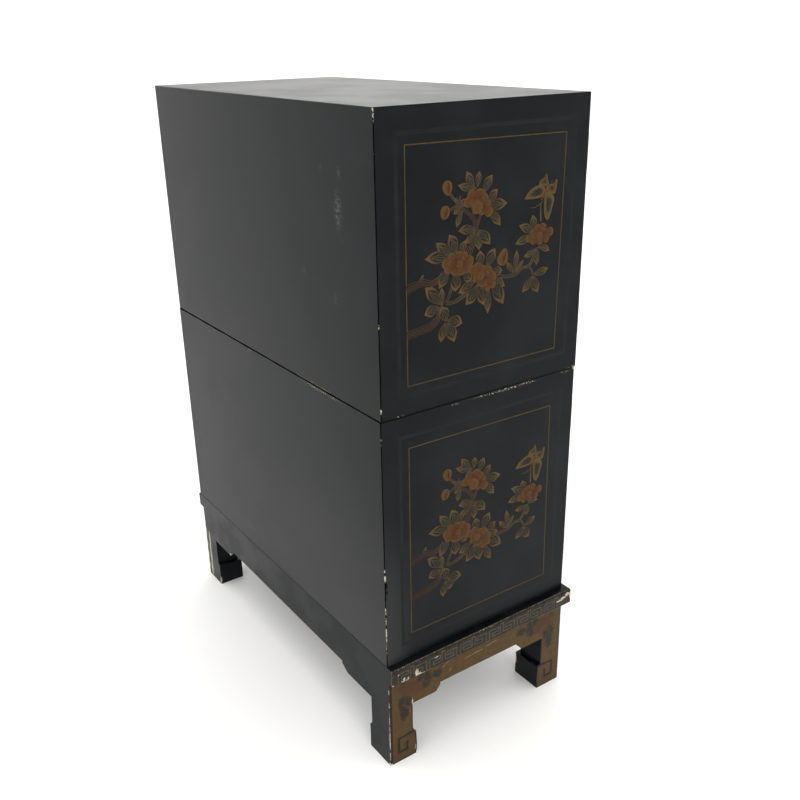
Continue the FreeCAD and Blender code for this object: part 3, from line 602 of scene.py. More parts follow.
# Paints: dull and bright colour, roughness; spread and scale of the tone, the attribute that it follows
# and the share of that; metal; chips.
PAINTS = {
    "gilt_line": ((0.040, 0.0268, 0.0082), (0.062, 0.043, 0.0138), 0.45, (0.3, 0.7), 0.1, "along", 0.0),
    "gilt_leaf": ((0.034, 0.021, 0.0075), (0.074, 0.046, 0.0125), 0.5, (0.35, 0.85)),
    "vein": ((0.041, 0.0305, 0.0132), (0.064, 0.0465, 0.019)),
    "leaf_green": ((0.0035, 0.005, 0.0045), (0.010, 0.0108, 0.0075), 0.5, (0.3, 0.9)),
    "petal_rim": ((0.044, 0.020, 0.0042), (0.068, 0.036, 0.0075), 0.5, (0.4, 0.85)),
    "blossom": ((0.033, 0.0085, 0.003), (0.060, 0.024, 0.0048), 0.5, (0.32, 0.72), 0.3, "along", 0.4),
    "heart": ((0.052, 0.021, 0.0045), (0.068, 0.0335, 0.0068), 0.5, (0.3, 0.7), 0.2, "along", 0.3),
    "bark": ((0.009, 0.0045, 0.0035), (0.019, 0.0095, 0.006), 0.55, (0.3, 0.8), 0.3, "inward", 0.4),
    "pale_band": ((0.0036, 0.0047, 0.0052), (0.0066, 0.008, 0.0082), 0.4, (0.35, 0.65), 0.03, "along", 0.0),
    "key_line": (
        (0.047, 0.041, 0.028), (0.084, 0.073, 0.048), 0.45, (0.35, 0.65), 0.2, "along", 0.0, 0.0, EDGE_CHIPS
    ),
    "faded_leaf": ((0.056, 0.032, 0.009), (0.019, 0.016, 0.012), 0.5, (0.27, 0.52), 0.2, "inward", 0.34),
    "faded_bloom": ((0.053, 0.029, 0.0088), (0.053, 0.0225, 0.0115), 0.5, (0.22, 0.5), 0.1, "inward", 0.42),
    "dark_line": ((0.010, 0.009, 0.0075), (0.03, 0.022, 0.013), 0.5, (0.45, 0.75), 0.12, "along", 0.0),
    "gilt_scratch": ((0.10, 0.075, 0.034), (0.22, 0.18, 0.105), 0.6, (0.36, 0.56), 0.3, "along", 0.0),
    "interior_red": (RED[0][:3], RED[1][:3], 0.5, (0.3, 0.7), 0.03, "along", 0.0),
    "aged_brass": ((0.17, 0.10, 0.031), (0.36, 0.225, 0.075), 0.4, (0.3, 0.7), 0.035, "along", 0.0, 1.0),
    "rubbed_brass": ((0.42, 0.28, 0.10), (0.56, 0.39, 0.15), 0.27, (0.3, 0.7), 0.06, "along", 0.0, 1.0),
    "engraved_brass": ((0.03, 0.018, 0.008), (0.06, 0.037, 0.013), 0.55, (0.3, 0.7), 0.1, "along", 0.0, 1.0),
    "catch_plastic": ((0.045, 0.024, 0.012), (0.06, 0.033, 0.017), 0.5, (0.3, 0.7), 0.2, "along", 0.0),
    "strike_steel": ((0.4, 0.4, 0.4), (0.55, 0.55, 0.54), 0.4, (0.3, 0.7), 0.2, "along", 0.0, 1.0),
}
MATERIALS = {}


def finish(name):
    """A paint, mixed the first time it is asked for."""
    if name not in MATERIALS:
        MATERIALS[name] = paint(name, *PAINTS[name])
    return MATERIALS[name]


# ---------------------------------------------------------------- the painted bough, in mm on the side panel

# Leaves: root (u, v), tip (u, v) on the upper box, tip on the lower box, width, bend to the left, order.
LEAVES = [
    # crown spray
    (163, 300, 130, 307, 131, 304, 11, 1, 0), (159, 300, 145, 324, 142, 317, 13, 1, 1),
    (164, 301, 167, 322, 168, 312, 11, 0, 0), (174, 292, 190, 315, 187, 306, 14, 1, 1),
    (183, 277, 200, 295, 200, 291, 13, 1, 0), (184, 270, 206, 244, 208, 237, 14, 1, 0),
    (181, 275, 218, 274, 221, 267, 16, 0, 1),
    # twig spray by the buds
    (137, 280, 123, 270, 129, 262, 9, 1, 0), (139, 274, 129, 251, 135, 247, 10, -1, 1),
    # spray under the crown
    (163, 243, 131, 246, 137, 238, 13, -2, 0), (161, 242, 144, 228, 141, 218, 11, 1, 0),
    (164, 241, 168, 215, 168, 206, 13, 1, 1), (165, 243, 188, 220, 190, 214, 16, 2, 0),
    # around the left blossom
    (120, 213, 75, 216, 80, 209, 17, -1, 1), (122, 215, 94, 236, 101, 234, 14, 1, 0),
    (129, 216, 116, 244, 124, 236, 17, -1, 1), (134, 212, 145, 233, 146, 228, 12, 0, 0),
    (118, 196, 99, 172, 101, 161, 15, -1, 0), (129, 190, 127, 163, 132, 154, 18, 0, 1),
    (141, 190, 155, 172, 152, 172, 15, 1, 0),
    # around the middle blossom
    (172, 190, 170, 215, 171, 206, 15, 0, 0), (183, 189, 198, 214, 201, 207, 17, 1, 0),
    (192, 181, 212, 180, 213, 186, 14, 0, 0), (193, 173, 217, 156, 218, 168, 13, 0, 1),
    (190, 168, 215, 130, 225, 140, 20, 2, 2), (186, 160, 186, 121, 204, 120, 13, 0, 0),
    (175, 166, 178, 135, 181, 127, 18, -1, 1), (167, 168, 145, 141, 153, 133, 18, 2, 1),
    (163, 175, 132, 160, 138, 154, 14, 1, 0),
    # low left spray
    (103, 149, 75, 178, 78, 167, 18, -1, 1), (100, 146, 74, 139, 80, 131, 16, -1, 0),
    (104, 145, 104, 174, 105, 163, 10, 0, 0), (112, 124, 104, 147, 109, 139, 18, 0, 2),
    (113, 124, 140, 115, 144, 112, 18, 2, 1), (111, 123, 102, 95, 108, 86, 14, -1, 0),
    (114, 122, 126, 91, 121, 96, 18, 1, 0),
    # sprout on the thin twig
    (235, 173, 219, 191, 220, 184, 9, 1, 0), (236, 173, 238, 206, 235, 199, 10, 0, 1),
    (237, 173, 252, 189, 252, 185, 7, 1, 0),
    # around and under the right blossom
    (272, 225, 240, 240, 243, 235, 13, -1, 1), (270, 221, 234, 214, 237, 211, 13, -1, 0),
    (271, 227, 266, 252, 266, 242, 13, 0, 0), (276, 203, 251, 194, 253, 192, 10, 2, 0),
    (276, 203, 277, 177, 279, 175, 11, 0, 1), (277, 204, 302, 195, 302, 196, 10, 2, 0),
    # hanging spray
    (271, 164, 250, 141, 256, 138, 13, 1, 1), (271, 163, 282, 136, 286, 132, 16, -1, 0),
    (271, 165, 301, 170, 299, 167, 12, -1, 0),
]
LOWER_SHIFT = np.array((3.0, -8.0))

# Blossoms: middle, heart (u, v) and its radius, then the petals' tips (u, v) and widths.
BLOSSOMS = [
    ((168, 279), (163.5, 275, 8.6), [
        (140, 284, 18), (149, 297, 20), (167, 299, 19), (181, 290, 17), (187, 278, 14), (190, 262, 19),
        (174, 263, 14)]),
    ((132, 202), (134, 201, 4.5), [
        (104, 206, 19), (117, 217, 16), (133, 219, 16), (147, 215, 15), (159, 203, 20), (154, 191, 17),
        (140, 186, 19), (123, 187, 17), (108, 195, 16)]),
    ((175, 177), (172, 179, 5.5), [
        (151, 194, 16), (162, 198, 18), (177, 193, 17), (192, 187, 17), (200, 173, 18), (199, 160, 16),
        (187, 156, 16), (171, 163, 18), (158, 177, 17)]),
    ((282, 222), (280, 221, 4.5), [
        (254, 218, 15), (262, 227, 15), (273, 236, 15), (289, 237, 17), (307, 224, 18), (298, 211, 15),
        (280, 207, 15), (264, 211, 15)]),
]
# Buds: middle, half width, half height, lean in degrees, and how much narrower they are towards the top.
BUDS = [
    ((113.3, 305), 7.9, 9.8, 8, -0.2), ((109.3, 273.6), 7.8, 9.0, -14, -0.1),
    ((212.3, 199.3), 9.4, 12.4, -20, 0.3)
]

# Stems: rows of (u, v, width).
STEMS = [
    [(45.5, 179, 13), (60, 183, 11), (73, 185, 10), (87, 181, 9), (100, 187, 6), (106, 193, 4)],
    [(67, 186, 6), (70, 190, 5), (73, 196, 1.5)],
    [(45.5, 116, 12), (60, 118, 11), (75, 120, 11), (88, 123, 11), (98, 132, 9), (103, 146, 5)],
    [(111, 150, 5), (124, 149, 5), (137, 153, 6), (149, 159, 6)],
    [(110, 150, 4.5), (117, 160, 4), (122, 171, 3.5)],
    [
        (129, 284, 4), (142, 273, 5), (153, 265, 6), (161, 254, 7), (163, 243, 7), (159, 229, 9),
        (152, 217, 10), (146, 211, 9)
    ],
    [(171, 266, 4), (168, 258, 4), (164, 250, 4)],
    [(118, 297, 4), (124, 290, 4), (132, 283, 5)],
    [(118, 276, 3.5), (125, 279, 3.5), (132, 282, 4)],
    [(128, 291, 2), (132, 283, 5), (141, 288, 2)],
    [(135, 293, 2), (134, 284, 5), (143, 279, 3)],
    [
        (207, 172, 5), (219, 170, 5), (231, 170, 5.5), (240, 172, 5), (250, 178, 4), (261, 179, 4.5),
        (270, 189, 5.5), (276, 203, 4)
    ],
    [(256, 179, 3), (265, 175, 3), (271, 165, 3.5)],
]
TENDRILS = [
    [(261, 262.5, 0.8), (269, 261.5, 1.2), (279, 265.5, 1.0), (285, 270, 0.8)],
    [(281, 268, 1.6), (281, 255, 2.4), (282, 240, 2.0)],
    [(295, 289, 0.9), (294, 294, 0.7), (292, 299, 0.5)],
    [(296, 289, 0.9), (299, 293, 0.7), (302, 296, 0.5)],
]
# Butterfly: of each wing the middle of its dark eye, the eye's share of the wing, and the wing's outline.
WINGS = [
    ((301, 285), 0.3, [
        (289, 290), (297, 291), (304, 292), (308, 297), (311, 295), (310, 287), (308, 279), (304, 277),
        (295, 280), (290, 285)]),
    ((286, 295), 0.25, [
        (275, 292), (278, 298), (286, 302), (289, 307), (291, 304), (292, 297), (294, 292), (289, 290)]),
    ((275, 282), 0.56, [
        (249, 275), (254, 282), (262, 288), (274, 292), (285, 290), (288, 284), (287, 279), (280, 275),
        (267, 274)]),
    ((296, 264), 0.52, [
        (287, 281), (295, 280), (304, 275), (306, 268), (303, 258), (299, 246), (294, 241), (289, 247),
        (287, 258), (287, 269)]),
]
WING_SHIFT = np.array((2.0, -9.0))
BUTTERFLY_BODY = [(280, 271, 1.5), (286, 277, 3.8), (289, 284, 3.4), (292, 291, 1.8)]


def leaf_spine(root, tip, bend, stations):
    """Points along a leaf: the straight way from root to tip, moved sideways by bend * 4t(1 - t)."""
    t = np.linspace(0, 1, stations)[:, None]
    way = tip - root
    return root + way * t + crosswise(way) * bend * 4 * t * (1 - t)


def leaf_half(t):
    """Half width of a leaf as a share: sin(pi t^1.2) to the power 0.55 + 0.75 t, round at the root and
    pointed at the tip."""
    return np.sin(np.pi * np.clip(t, 0, 1) ** 1.2) ** (0.55 + 0.75 * t)


def petal_half(t):
    """Half width of a petal as a share: t^0.55 sqrt(1 - t^6), a fan with a round end."""
    return t**0.55 * np.sqrt(1 - t**6)


def add_leaf(layers, root, tip, width, bend, lift):
    """Gilt blade, dark green middle and gilt veins."""
    t = np.linspace(0.012, 0.992, 20)
    share = np.linspace(0, 1, 201)
    spine = leaf_spine(root, tip, bend, 201)
    side = crosswise(tip - root)

    def at(t):
        return np.stack([np.interp(t, share, spine[:, k]) for k in (0, 1)], -1)

    layers["gilt"].append(strip(at(t), width * leaf_half(t), 0.2, lift, along=t))
    s = np.linspace(0.03, 0.8, 14)
    rounded = np.sin(np.pi * (s - 0.02) / 0.79).clip(0, 1) ** 0.5
    dark = (width * leaf_half(s) - 1.5 - 0.16 * width * s) * rounded
    layers["leaf"].append(strip(at(s), dark.clip(0.3), 0.14, lift + 0.16, along=s))
    v = np.linspace(0.04, 0.86, 9)
    layers["vein"].append(strip(at(v), np.linspace(1.3, 0.6, 9), 0.12, lift + 0.28, along=v))
    for reach, bow, wide in ((0.72, 0.16, 0.75), (0.6, 0.29, 0.6)):
        v = np.linspace(0.06, reach, 9)
        off = bow * width * np.sin(np.pi * (v - 0.04) / (reach + 0.02)).clip(0) ** 0.8
        for sign in (-1, 1):
            vein = at(v) + side * (sign * off)[:, None]
            layers["vein"].append(strip(vein, np.full(9, wide), 0.1, lift + 0.27, along=v))


def add_wing(layers, outline, eye, share, lift, turn):
    """Wing: gilt inside its outline, a dark eye drawn in towards its middle, gilt streaks across it."""
    rim = np.array([turn(p) for p in outline])
    rim = flowing(np.vstack((rim, rim[:1])), 4)[:-1]
    eye = turn(eye)
    layers["gilt"].append(mound(rim, 0.18, lift + 0.1))
    layers["leaf"].append(mound(eye + (rim - eye) * share, 0.12, lift + 0.28))
    for k in range(0, len(rim), 5):
        streak = eye + (rim[k] - eye) * np.linspace(0.12, 0.75, 6)[:, None]
        layers["vein"].append(strip(streak, np.full(6, 0.55), 0.1, lift + 0.36))


def add_blossom(layers, middle, heart, petals, turn):
    """Two rows of petals, ochre at the rims and red inside, streaked, around an ochre heart."""
    t = np.linspace(0.02, 0.99, 16)
    s = np.linspace(0.05, 0.87, 12)
    middle = np.asarray(middle)
    for number, (u, v, width) in enumerate(petals):
        tip = turn(np.array((u, v), float))
        for row, reach in ((0, 1.0), (1, 0.62)):
            if row and number % 3:
                continue
            way = (tip - middle) * reach
            side = crosswise(way)
            sway = side * (0.9 * math.sin(2.4 * number + 5 * row))
            lift = 0.3 + 0.05 * (number % 3) + 0.16 * row
            wide = width * (1.0 if not row else 0.85)
            petal = middle + way * t[:, None] + sway * t[:, None] ** 2
            layers["rim"].append(strip(petal, wide * petal_half(t), 0.2, lift, along=t))
            inner = (wide * petal_half(s / 0.88) - (1.5 if not row else 1.2)).clip(0.6)
            petal = middle + way * s[:, None] + sway * s[:, None] ** 2
            layers["blossom"].append(strip(petal, inner, 0.14, lift + 0.15, along=s))
            for slant in (-0.2, 0.03, 0.24):
                v = np.linspace(0.42, 0.86, 5)[:, None]
                streak = middle + way * v + side * (slant * wide * v) + sway * v**2
                layers["rim"].append(strip(streak, np.full(5, 0.45), 0.08, lift + 0.28, along=v[:, 0]))
    hu, hv, radius = heart
    spot = turn(np.array((hu, hv), float))
    angle = np.linspace(0, 2 * np.pi, 40, endpoint=False)
    ring = np.stack((np.cos(angle), np.sin(angle)), -1) * (1 + 0.06 * np.sin(5 * angle + hu))[:, None]
    layers["blossom"].append(mound(spot + (radius + 1.6) * ring, 0.2, 0.66))
    layers["heart"].append(mound(spot + radius * ring, 0.3, 0.75))


def add_bud(layers, bud, turn, size):
    """Bud: an egg, x = a cos(w) (1 - k sin(w)), y = b sin(w), leaning; ochre at the rim, red inside, with
    two folds."""
    middle, a, b, lean, narrow = bud
    w = np.linspace(0, 2 * np.pi, 36, endpoint=False)
    c, s = math.cos(math.radians(lean)), math.sin(math.radians(lean))

    def egg(a, b, w):
        x, y = a * np.cos(w) * (1 - narrow * np.sin(w)), b * np.sin(w)
        return np.array([turn(np.array(middle) + p) for p in np.stack((x * c - y * s, x * s + y * c), -1)])

    layers["rim"].append(mound(egg(a, b, w), 0.3, 0.1))
    layers["heart"].append(mound(egg(a - 1.3, b - 2.0, w), 0.2, 0.26))
    inner = egg((a - 1.3) * 0.5, (b - 2.0) * 0.62, w) + (1.2 * size, -1.4 * size)
    layers["blossom"].append(mound(inner, 0.1, 0.42))
    for share in (-0.35, 0.3):
        fold = egg(a * share, b * 0.8, np.linspace(-1.3, 1.3, 9) + (0 if share > 0 else math.pi))
        layers["bark"].append(strip(fold, np.full(9, 0.8 * size), 0.08, 0.5))


def add_stem(layers, rows, turn, size):
    """Gilt-edged brown stem with two fine streaks. With s the way along it, a knotty bark widens and narrows
    it by 0.1 sin(0.5 s) + 0.07 sin(1.3 s)."""
    curve = flowing([(*turn(np.array(row[:2], float)), row[2] * size) for row in rows])
    path, width = curve[:, :2], curve[:, 2]
    way = np.append(0, np.cumsum(np.linalg.norm(np.diff(path, axis=0), axis=1))) / size
    width = width * (1 + 0.1 * np.sin(0.5 * way + rows[0][0]) + 0.07 * np.sin(1.3 * way))
    thick = width.max() > 7 * size
    layers["gilt" if thick else "vein"].append(strip(path, width, 0.1))
    layers["bark"].append(strip(path, (width - (1.5 if thick else 1.9) * size).clip(0.6), 0.12, 0.06))
    side = np.gradient(path, axis=0)
    side = np.stack((-side[:, 1], side[:, 0]), -1) / np.linalg.norm(side, axis=1, keepdims=True)
    if width.max() > 5:
        for share in (-0.18, 0.16):
            streak = path + side * (share * width)[:, None]
            layers["vein"].append(strip(streak, np.full(len(path), 0.5), 0.06, 0.14))


def bough(level, turn):
    """All shells of one painted bough, by finish. turn moves a point of the side panel to its own panel."""
    layers = {name: [] for name in FINISH_OF}
    lower = level == "lower"

    def shifted(point):
        return turn(np.array(point, float) + (LOWER_SHIFT if lower else 0))

    def winged(point):
        return turn(np.array(point, float) + (WING_SHIFT if lower else 0))

    size = np.linalg.norm(turn(np.array((1.0, 0.0))) - turn(np.array((0.0, 0.0))))
    for rows in STEMS:
        add_stem(layers, rows, shifted, size)
    for rows in TENDRILS:
        curve = flowing([(*shifted(row[:2]), row[2]) for row in rows])
        layers["vein"].append(strip(curve[:, :2], curve[:, 2] * size, 0.08))
    flip = np.sign(np.linalg.det([turn(np.eye(2)[k]) - turn(np.zeros(2)) for k in (0, 1)]))
    for ru, rv, uu, uv, lu, lv, width, bend, order in LEAVES:
        tip = turn(np.array((lu, lv) if lower else (uu, uv), float))
        add_leaf(layers, shifted((ru, rv)), tip, width * size, bend * size * flip, 0.08 * order)
    for number, (eye, share, outline) in enumerate(WINGS):
        add_wing(layers, outline, eye, share, 0.06 * number, winged)
    for middle, heart, petals in BLOSSOMS:
        scaled = [(u, v, width * size) for u, v, width in petals]
        add_blossom(layers, shifted(middle), (*heart[:2], heart[2] * size), scaled, shifted)
    for bud in BUDS[: 2 if lower else 3]:
        add_bud(layers, bud, shifted, size)
    curve = flowing([(*shifted(row[:2]), row[2] * size) for row in BUTTERFLY_BODY])
    layers["heart"].append(strip(curve[:, :2], curve[:, 2], 0.3, 0.3))
    return layers


FINISH_OF = {
    "gilt": ("gold_paint", "gilt_leaf"), "leaf": ("leaf_paint", "leaf_green"),
    "vein": ("gold_paint", "vein"), "rim": ("flower_paint", "petal_rim"),
    "heart": ("flower_paint", "heart"), "blossom": ("flower_paint", "blossom"),
    "bark": ("gold_paint", "bark"),
}


def lay_bough(panel, level, turn, place, body):
    for layer, shells in bough(level, turn).items():
        slot, material = FINISH_OF[layer]
        raised(f"{panel}_bough_{layer}", shells, place, body, finish(material))


def rectangle(corners, steps=24):
    """Closed path round four corners, with stations along each side."""
    corners = np.asarray(corners, float)
    t = np.arange(steps)[:, None] / steps
    sides = [a + (b - a) * t for a, b in zip(corners, np.roll(corners, -1, 0))]
    return np.concatenate(sides)


def uneven(path, width, seed):
    """Width of a hand-drawn line: slow waves of up to a seventh."""
    wave = np.random.default_rng(seed).uniform(-1, 1, len(path))
    wave = np.convolve(np.concatenate((wave, wave, wave)), np.ones(3) / 3, "same")[len(path) : 2 * len(path)]
    return width * (1 + 0.22 * wave)


# ---------------------------------------------------------------- settings


class CabinetFinish(bpy.types.PropertyGroup):
    """Colours and line sizes of the lacquer work."""

    black: FloatVectorProperty(
        name="Black", description="Colour of the black lacquer", subtype="COLOR", size=3, default=BLACK
    )
    line_width: FloatProperty(
        name="Line width", description="Width of the gilt line on the panels", default=0.00138, unit="LENGTH"
    )
    band_width: FloatProperty(
        name="Band width", description="Width of the band round the gilt line", default=0.006, unit="LENGTH"
    )
    door_scale: FloatProperty(
        name="Door scale", description="Size of the door boughs against those of the sides", default=0.8
    )
    key_units: IntProperty(
        name="Key units", description="Turns of the key pattern along one side of the stand", default=12
    )


class CabinetStage(bpy.types.PropertyGroup):
    """Floor, light and camera."""

    floor_radius: FloatProperty(
        name="Floor radius", description="Radius of the level part of the floor", default=3.2, unit="LENGTH"
    )
    room: FloatProperty(name="Room light", description="Strength of the light from all round", default=1.5)
    overhead: FloatProperty(
        name="Overhead light", description="Power of the light above", default=25.0, unit="POWER"
    )
    backdrop: FloatProperty(
        name="Backdrop light", description="Power of the light on the far floor", default=10.0, unit="POWER"
    )
    key: FloatProperty(
        name="Key light", description="Power of the light beside the camera", default=15.0, unit="POWER"
    )
    far: FloatProperty(
        name="Far light", description="Power of the light across from the camera", default=4.5, unit="POWER"
    )
    wall_height: FloatProperty(
        name="Wall height", description="Height to which the floor turns up", default=1.5, unit="LENGTH"
    )
    lens: FloatProperty(
        name="Lens", description="Focal length on a 36 mm wide sensor", default=40.77, unit="CAMERA"
    )


# ---------------------------------------------------------------- operators


def assign(node, material):
    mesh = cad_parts[node].data
    mesh.materials.clear()
    mesh.materials.append(material)


class CABINET_OT_black_lacquer(bpy.types.Operator):
    """Lacquers both boxes and the doors: black outside, dull red inside, chipped along their edges"""

    bl_idname = "cabinet.black_lacquer"
    bl_label = "Black lacquer"

    def execute(self, context):
        for level in LEVELS:
            low, high = BOX[level]
            red = (low + (2.0, 18.5, 2.0), high - 2.0)
            west, east, back, front = low[0], high[0], high[1], low[1]
            seam = BOX["upper"][0][2]
            boosts, nicks, painted_sheen, reach = [], [], [], 0.3 if level == "upper" else 0.42
            if level == "upper":
                chips = [
                    (west, back, 1011, 1.3, 1.3, 13), (west + 1, back, 1018, 1.6, 1.6, 3),
                    (west, back, 744, 1.2, 1.2, 5), (west, back, 624, 1.6, 1.6, 6),
                ]
                flecks = [
                    (west, 160, seam + 2, 4, 14, 1.6), (west, -172, seam + 2, 4, 16, 2.6),
                    (-170, back, seam + 1, 130, 4, 2.6)
                ]
                scuffs = [
                    (-263, back, 884, 13, 6, 38, 0.9), (-268, back, 934, 8, 6, 12, 1.4),
                    (-271, back, 847, 3, 6, 4), (-162, back, 783, 8, 6, 14, 1.8),
                    (-247, back, 758, 7, 6, 18, 1.8), (-222, back, 935, 9, 6, 9, 2.4),
                ]
            else:
                chips = [
                    (west, back, 581, 1.0, 1.0, 2), (west, back, 573, 0.9, 0.9, 1.4),
                    (west, front, 606, 3, 6, 4), (west, back, 369, 1.5, 1.5, 4),
                    (west, back, 357, 1.6, 2.4, 7),
                ]
                flecks = [
                    (west, -30, seam - 5, 5, 105, 2.8), (west, -66, seam - 4.6, 5, 40, 2.4, 0.5),
                    (west, 62, seam - 5, 5, 22, 2.2), (west, -158, seam - 4.4, 5, 18, 2.2),
                    (-190, back, seam - 4.2, 120, 5, 2.8), (50, back, seam - 4.2, 9, 5, 4),
                    (east, back, 503, 3.4, 5, 48), (west, back, 352, 4, 6, 24),
                ]
                boosts = [(west, back, 270, 6, 6, 80)]
                nicks = [(west, 189, 344, 3, 3.6, 8), (west, 188, 331, 2.6, 3, 4), (west, 190, 320, 2, 2, 4)]
                scuffs = [(120, back, 230, 160, 6, 14, 3.2)]
                # Painted reflection, lighter towards the west of the lower box's back.
                painted_sheen = [(-270, back, 170, 430, 60, 370)]
            material = black_lacquer(
                f"{level}_black_lacquer", BOX[level], red, reach, boosts, chips, flecks, nicks, scuffs, painted_sheen,
                seam
            )
            for board in BOARDS:
                assign(f"{level}_{board}", material)
            for side in SIDES:
                low, high = DOOR[level, side]
                red = (
                    np.array((low[0] + 1, high[1] - 0.4, low[2] + 1)),
                    np.array((high[0] - 1, high[1] + 5, high[2] - 1))
                )
                assign(
                    f"{level}_{side}_door",
                    black_lacquer(f"{level}_{side}_door_lacquer", DOOR[level, side], red)
                )
        return {"FINISHED"}


class CABINET_OT_joint_shade_and_grime(bpy.types.Operator):
    """Lays a near-black strip with no reflection along the joint between the two boxes' backs, old dirt and
    painted shade of the gap together, wider towards the east end
    """

    bl_idname = "cabinet.joint_grime"
    bl_label = "Joint grime"

    def execute(self, context):
        material, tree, surface = new_material("joint_grime")
        tone = noise(tree, place_in_mm(tree), 0.2, 3.0)[0]
        colour = blended(
            tree, eased(tree, tone, 0.3, 0.7), (0.0004, 0.0004, 0.0005, 1), (0.002, 0.002, 0.002, 1)
        )
        # Painted shade, partly old dirt: IOR 1 leaves the near-black strip without any reflection.
        surface.inputs["IOR"].default_value = 1.0
        finish_surface(tree, surface, colour, 0.9)
        for level, away, wide, narrow in (("lower", -1, 2.1, 1.1), ("upper", 1, 1.2, 0.6)):
            low, high = BOX[level]
            seam = BOX["upper"][0][2]
            u = np.linspace(4.0, high[0] - low[0] - 3.0, 120)
            wave = 1 + 0.12 * np.sin(u / 9) + 0.1 * np.sin(u / 23 + 1)
            width = (wide + (narrow - wide) * u / u[-1]) * wave
            path = np.stack((u, seam + away * (0.35 + width / 2)), -1)
            place = on_panel((high[0], high[1], 0), (-1, 0, 0))
            shade_and_grime = [strip(path, width, 0.05)]
            raised(f"{level}_back_joint_grime", shade_and_grime, place, f"{level}_box", material)
        return {"FINISHED"}


class CABINET_OT_stand_lacquer(bpy.types.Operator):
    """Lacquers the stand: gilt brown show faces, black top, back and inner faces, worn corners"""

    bl_idname = "cabinet.stand_lacquer"
    bl_label = "Stand lacquer"

    def execute(self, context):
        (west, front, low), (east, back, top) = EDGE
        outer = ((west + 3, front + 3, low - 9), (east - 3, back + 9, top + 9))
        boosts = [(west, 10, top, 8, 60, 8), (west, -184, top, 12, 20, 20), (west, 170, top, 9, 40, 9)]
        edge = stand_lacquer(
            "stand_edge_lacquer", (EDGE[0], EDGE[1] + (0, 60, 0)), outer, 0.45, boosts, EDGE_CHIPS,
            brown=True
        )
        assign("stand_top_board", edge)
        (west, front, low), (east, back, top) = APRON
        outer = ((west + 0.8, front + 0.8, low - 9), (east - 0.8, back + 9, top + 9))
        chips = [
            (west, back, 148, 1.3, 1.3, 7), (west, back, 122, 1.3, 1.3, 8), (west, back, 92, 1.2, 1.2, 12),
            (west, back, 55, 1.5, 1.5, 22), (west, back, 20, 1.4, 1.4, 12), (west, back, 2, 6, 6, 4),
            (west, 145, 110, 2, 1.8, 7), (west, 139, 47, 2, 3, 5), (west, 139, 14, 2, 2, 9),
            (west, -127, 22, 2, 2, 18), (west + 57.5, front + 50.5, 30, 3, 3, 14),
            (west + 57, front + 50, 46, 4, 3, 3), (west, front, 8, 3, 3, 8),
            (east - 18, back, 92, 4.4, 3, 26), (east - 17, back, 55, 5, 3, 34),
            (east - 15.5, back, 18, 5.6, 3, 22), (east, back, 128, 6, 3, 6), (east, back, 106, 7, 3, 16),
            (east, back, 76, 6.5, 3, 13), (east, back, 48, 7, 3, 14), (east, back, 22, 6, 3, 9),
            (east - 57, back, 10, 2.6, 3, 11), (east - 126, back, 108, 6, 3, 3),
        ]
        boosts = [(west, back, 60, 8, 8, 80), (east, back, 70, 8, 8, 70), (west, front, 30, 8, 8, 50)]
        apron = stand_lacquer(
            "stand_apron_lacquer", (APRON[0], APRON[1] + (0, 0, 60)), outer, 0.3, boosts, chips
        )
        for board in ("front_apron", "back_apron", "left_apron", "right_apron", "corner_blocks"):
            assign(f"stand_{board}", apron)
        return {"FINISHED"}


# Finish of each node whose name holds a word; the last word that fits counts.
FITTINGS = {
    "shelf": "interior_red", "catch": "catch_plastic", "strike": "strike_steel", "hinge": "aged_brass",
    "plate": "aged_brass", "nails": "rubbed_brass", "pins": "rubbed_brass", "post": "rubbed_brass",
    "pull": "rubbed_brass",
}
PLATE_RADIUS = 58.0  # mm, of the round brass plate
RING_END = 2.6  # mm from the plate's middle line to the ends of its engraved rings
# Engraved rings: radius, height of their waves, width.
RINGS = ((54.8, 0.0, 1.1), (52.4, 0.0, 0.7), (46.6, 2.6, 0.8), (40.6, 0.0, 1.1), (38.6, 0.0, 0.6))


class CABINET_OT_inside_and_brass(bpy.types.Operator):
    """Finishes the shelf, the catch and its plates, and the brassware"""

    bl_idname = "cabinet.inside_and_brass"
    bl_label = "Inside and brass"

    def execute(self, context):
        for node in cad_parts:
            for word, name in FITTINGS.items():
                if word in node:
                    assign(node, finish(name))
        for level in LEVELS:
            for side in SIDES:
                low, high = limits(f"{level}_{side}_lock_plate")
                sign = -1 if side == "left" else 1
                across = low[0] + PLATE_RADIUS if side == "left" else high[0] - PLATE_RADIUS
                middle = (across, (low[2] + high[2]) / 2)
                lines = []
                for r, wave, width in RINGS:
                    reach = math.acos(RING_END / r)
                    angle = np.linspace(-reach, reach, 160)
                    r = r + wave * np.cos(20 * angle)
                    path = np.stack(
                        (middle[0] + sign * r * np.cos(angle), middle[1] + r * np.sin(angle)), -1
                    )
                    lines.append(strip(path, width, 0.12))
                place = on_panel((0, low[1], 0), (1, 0, 0))
                raised(
                    f"{level}_{side}_plate_rings", lines, place, f"{level}_{side}_door",
                    finish("engraved_brass")
                )
        return {"FINISHED"}


# Corners (u, v) of the gilt line and the pale band on a side panel.
FRAMES = {
    "upper": [(45.5, 43), (320.5, 41.5), (325, 361), (45.5, 365)],
    "lower": [(47, 45.5), (323.5, 45), (320, 357.5), (47, 360.5)],
}
BAND = [(31.5, 30), (342, 30), (342, 379.5), (31.5, 379.5)]
# The same on a door: from the hinge side to the near and the far upright, and from the door's ends.
DOOR_LINE, DOOR_BAND = (46, 268, 30), (40, 274, 20)
BOUGH_ROOT, BOUGH_MIDDLE = 46, 198  # the side bough's root and middle height, which stay in place on a door
LOWER_LINE = 1.14  # the lower boxes' gilt line against the upper ones'


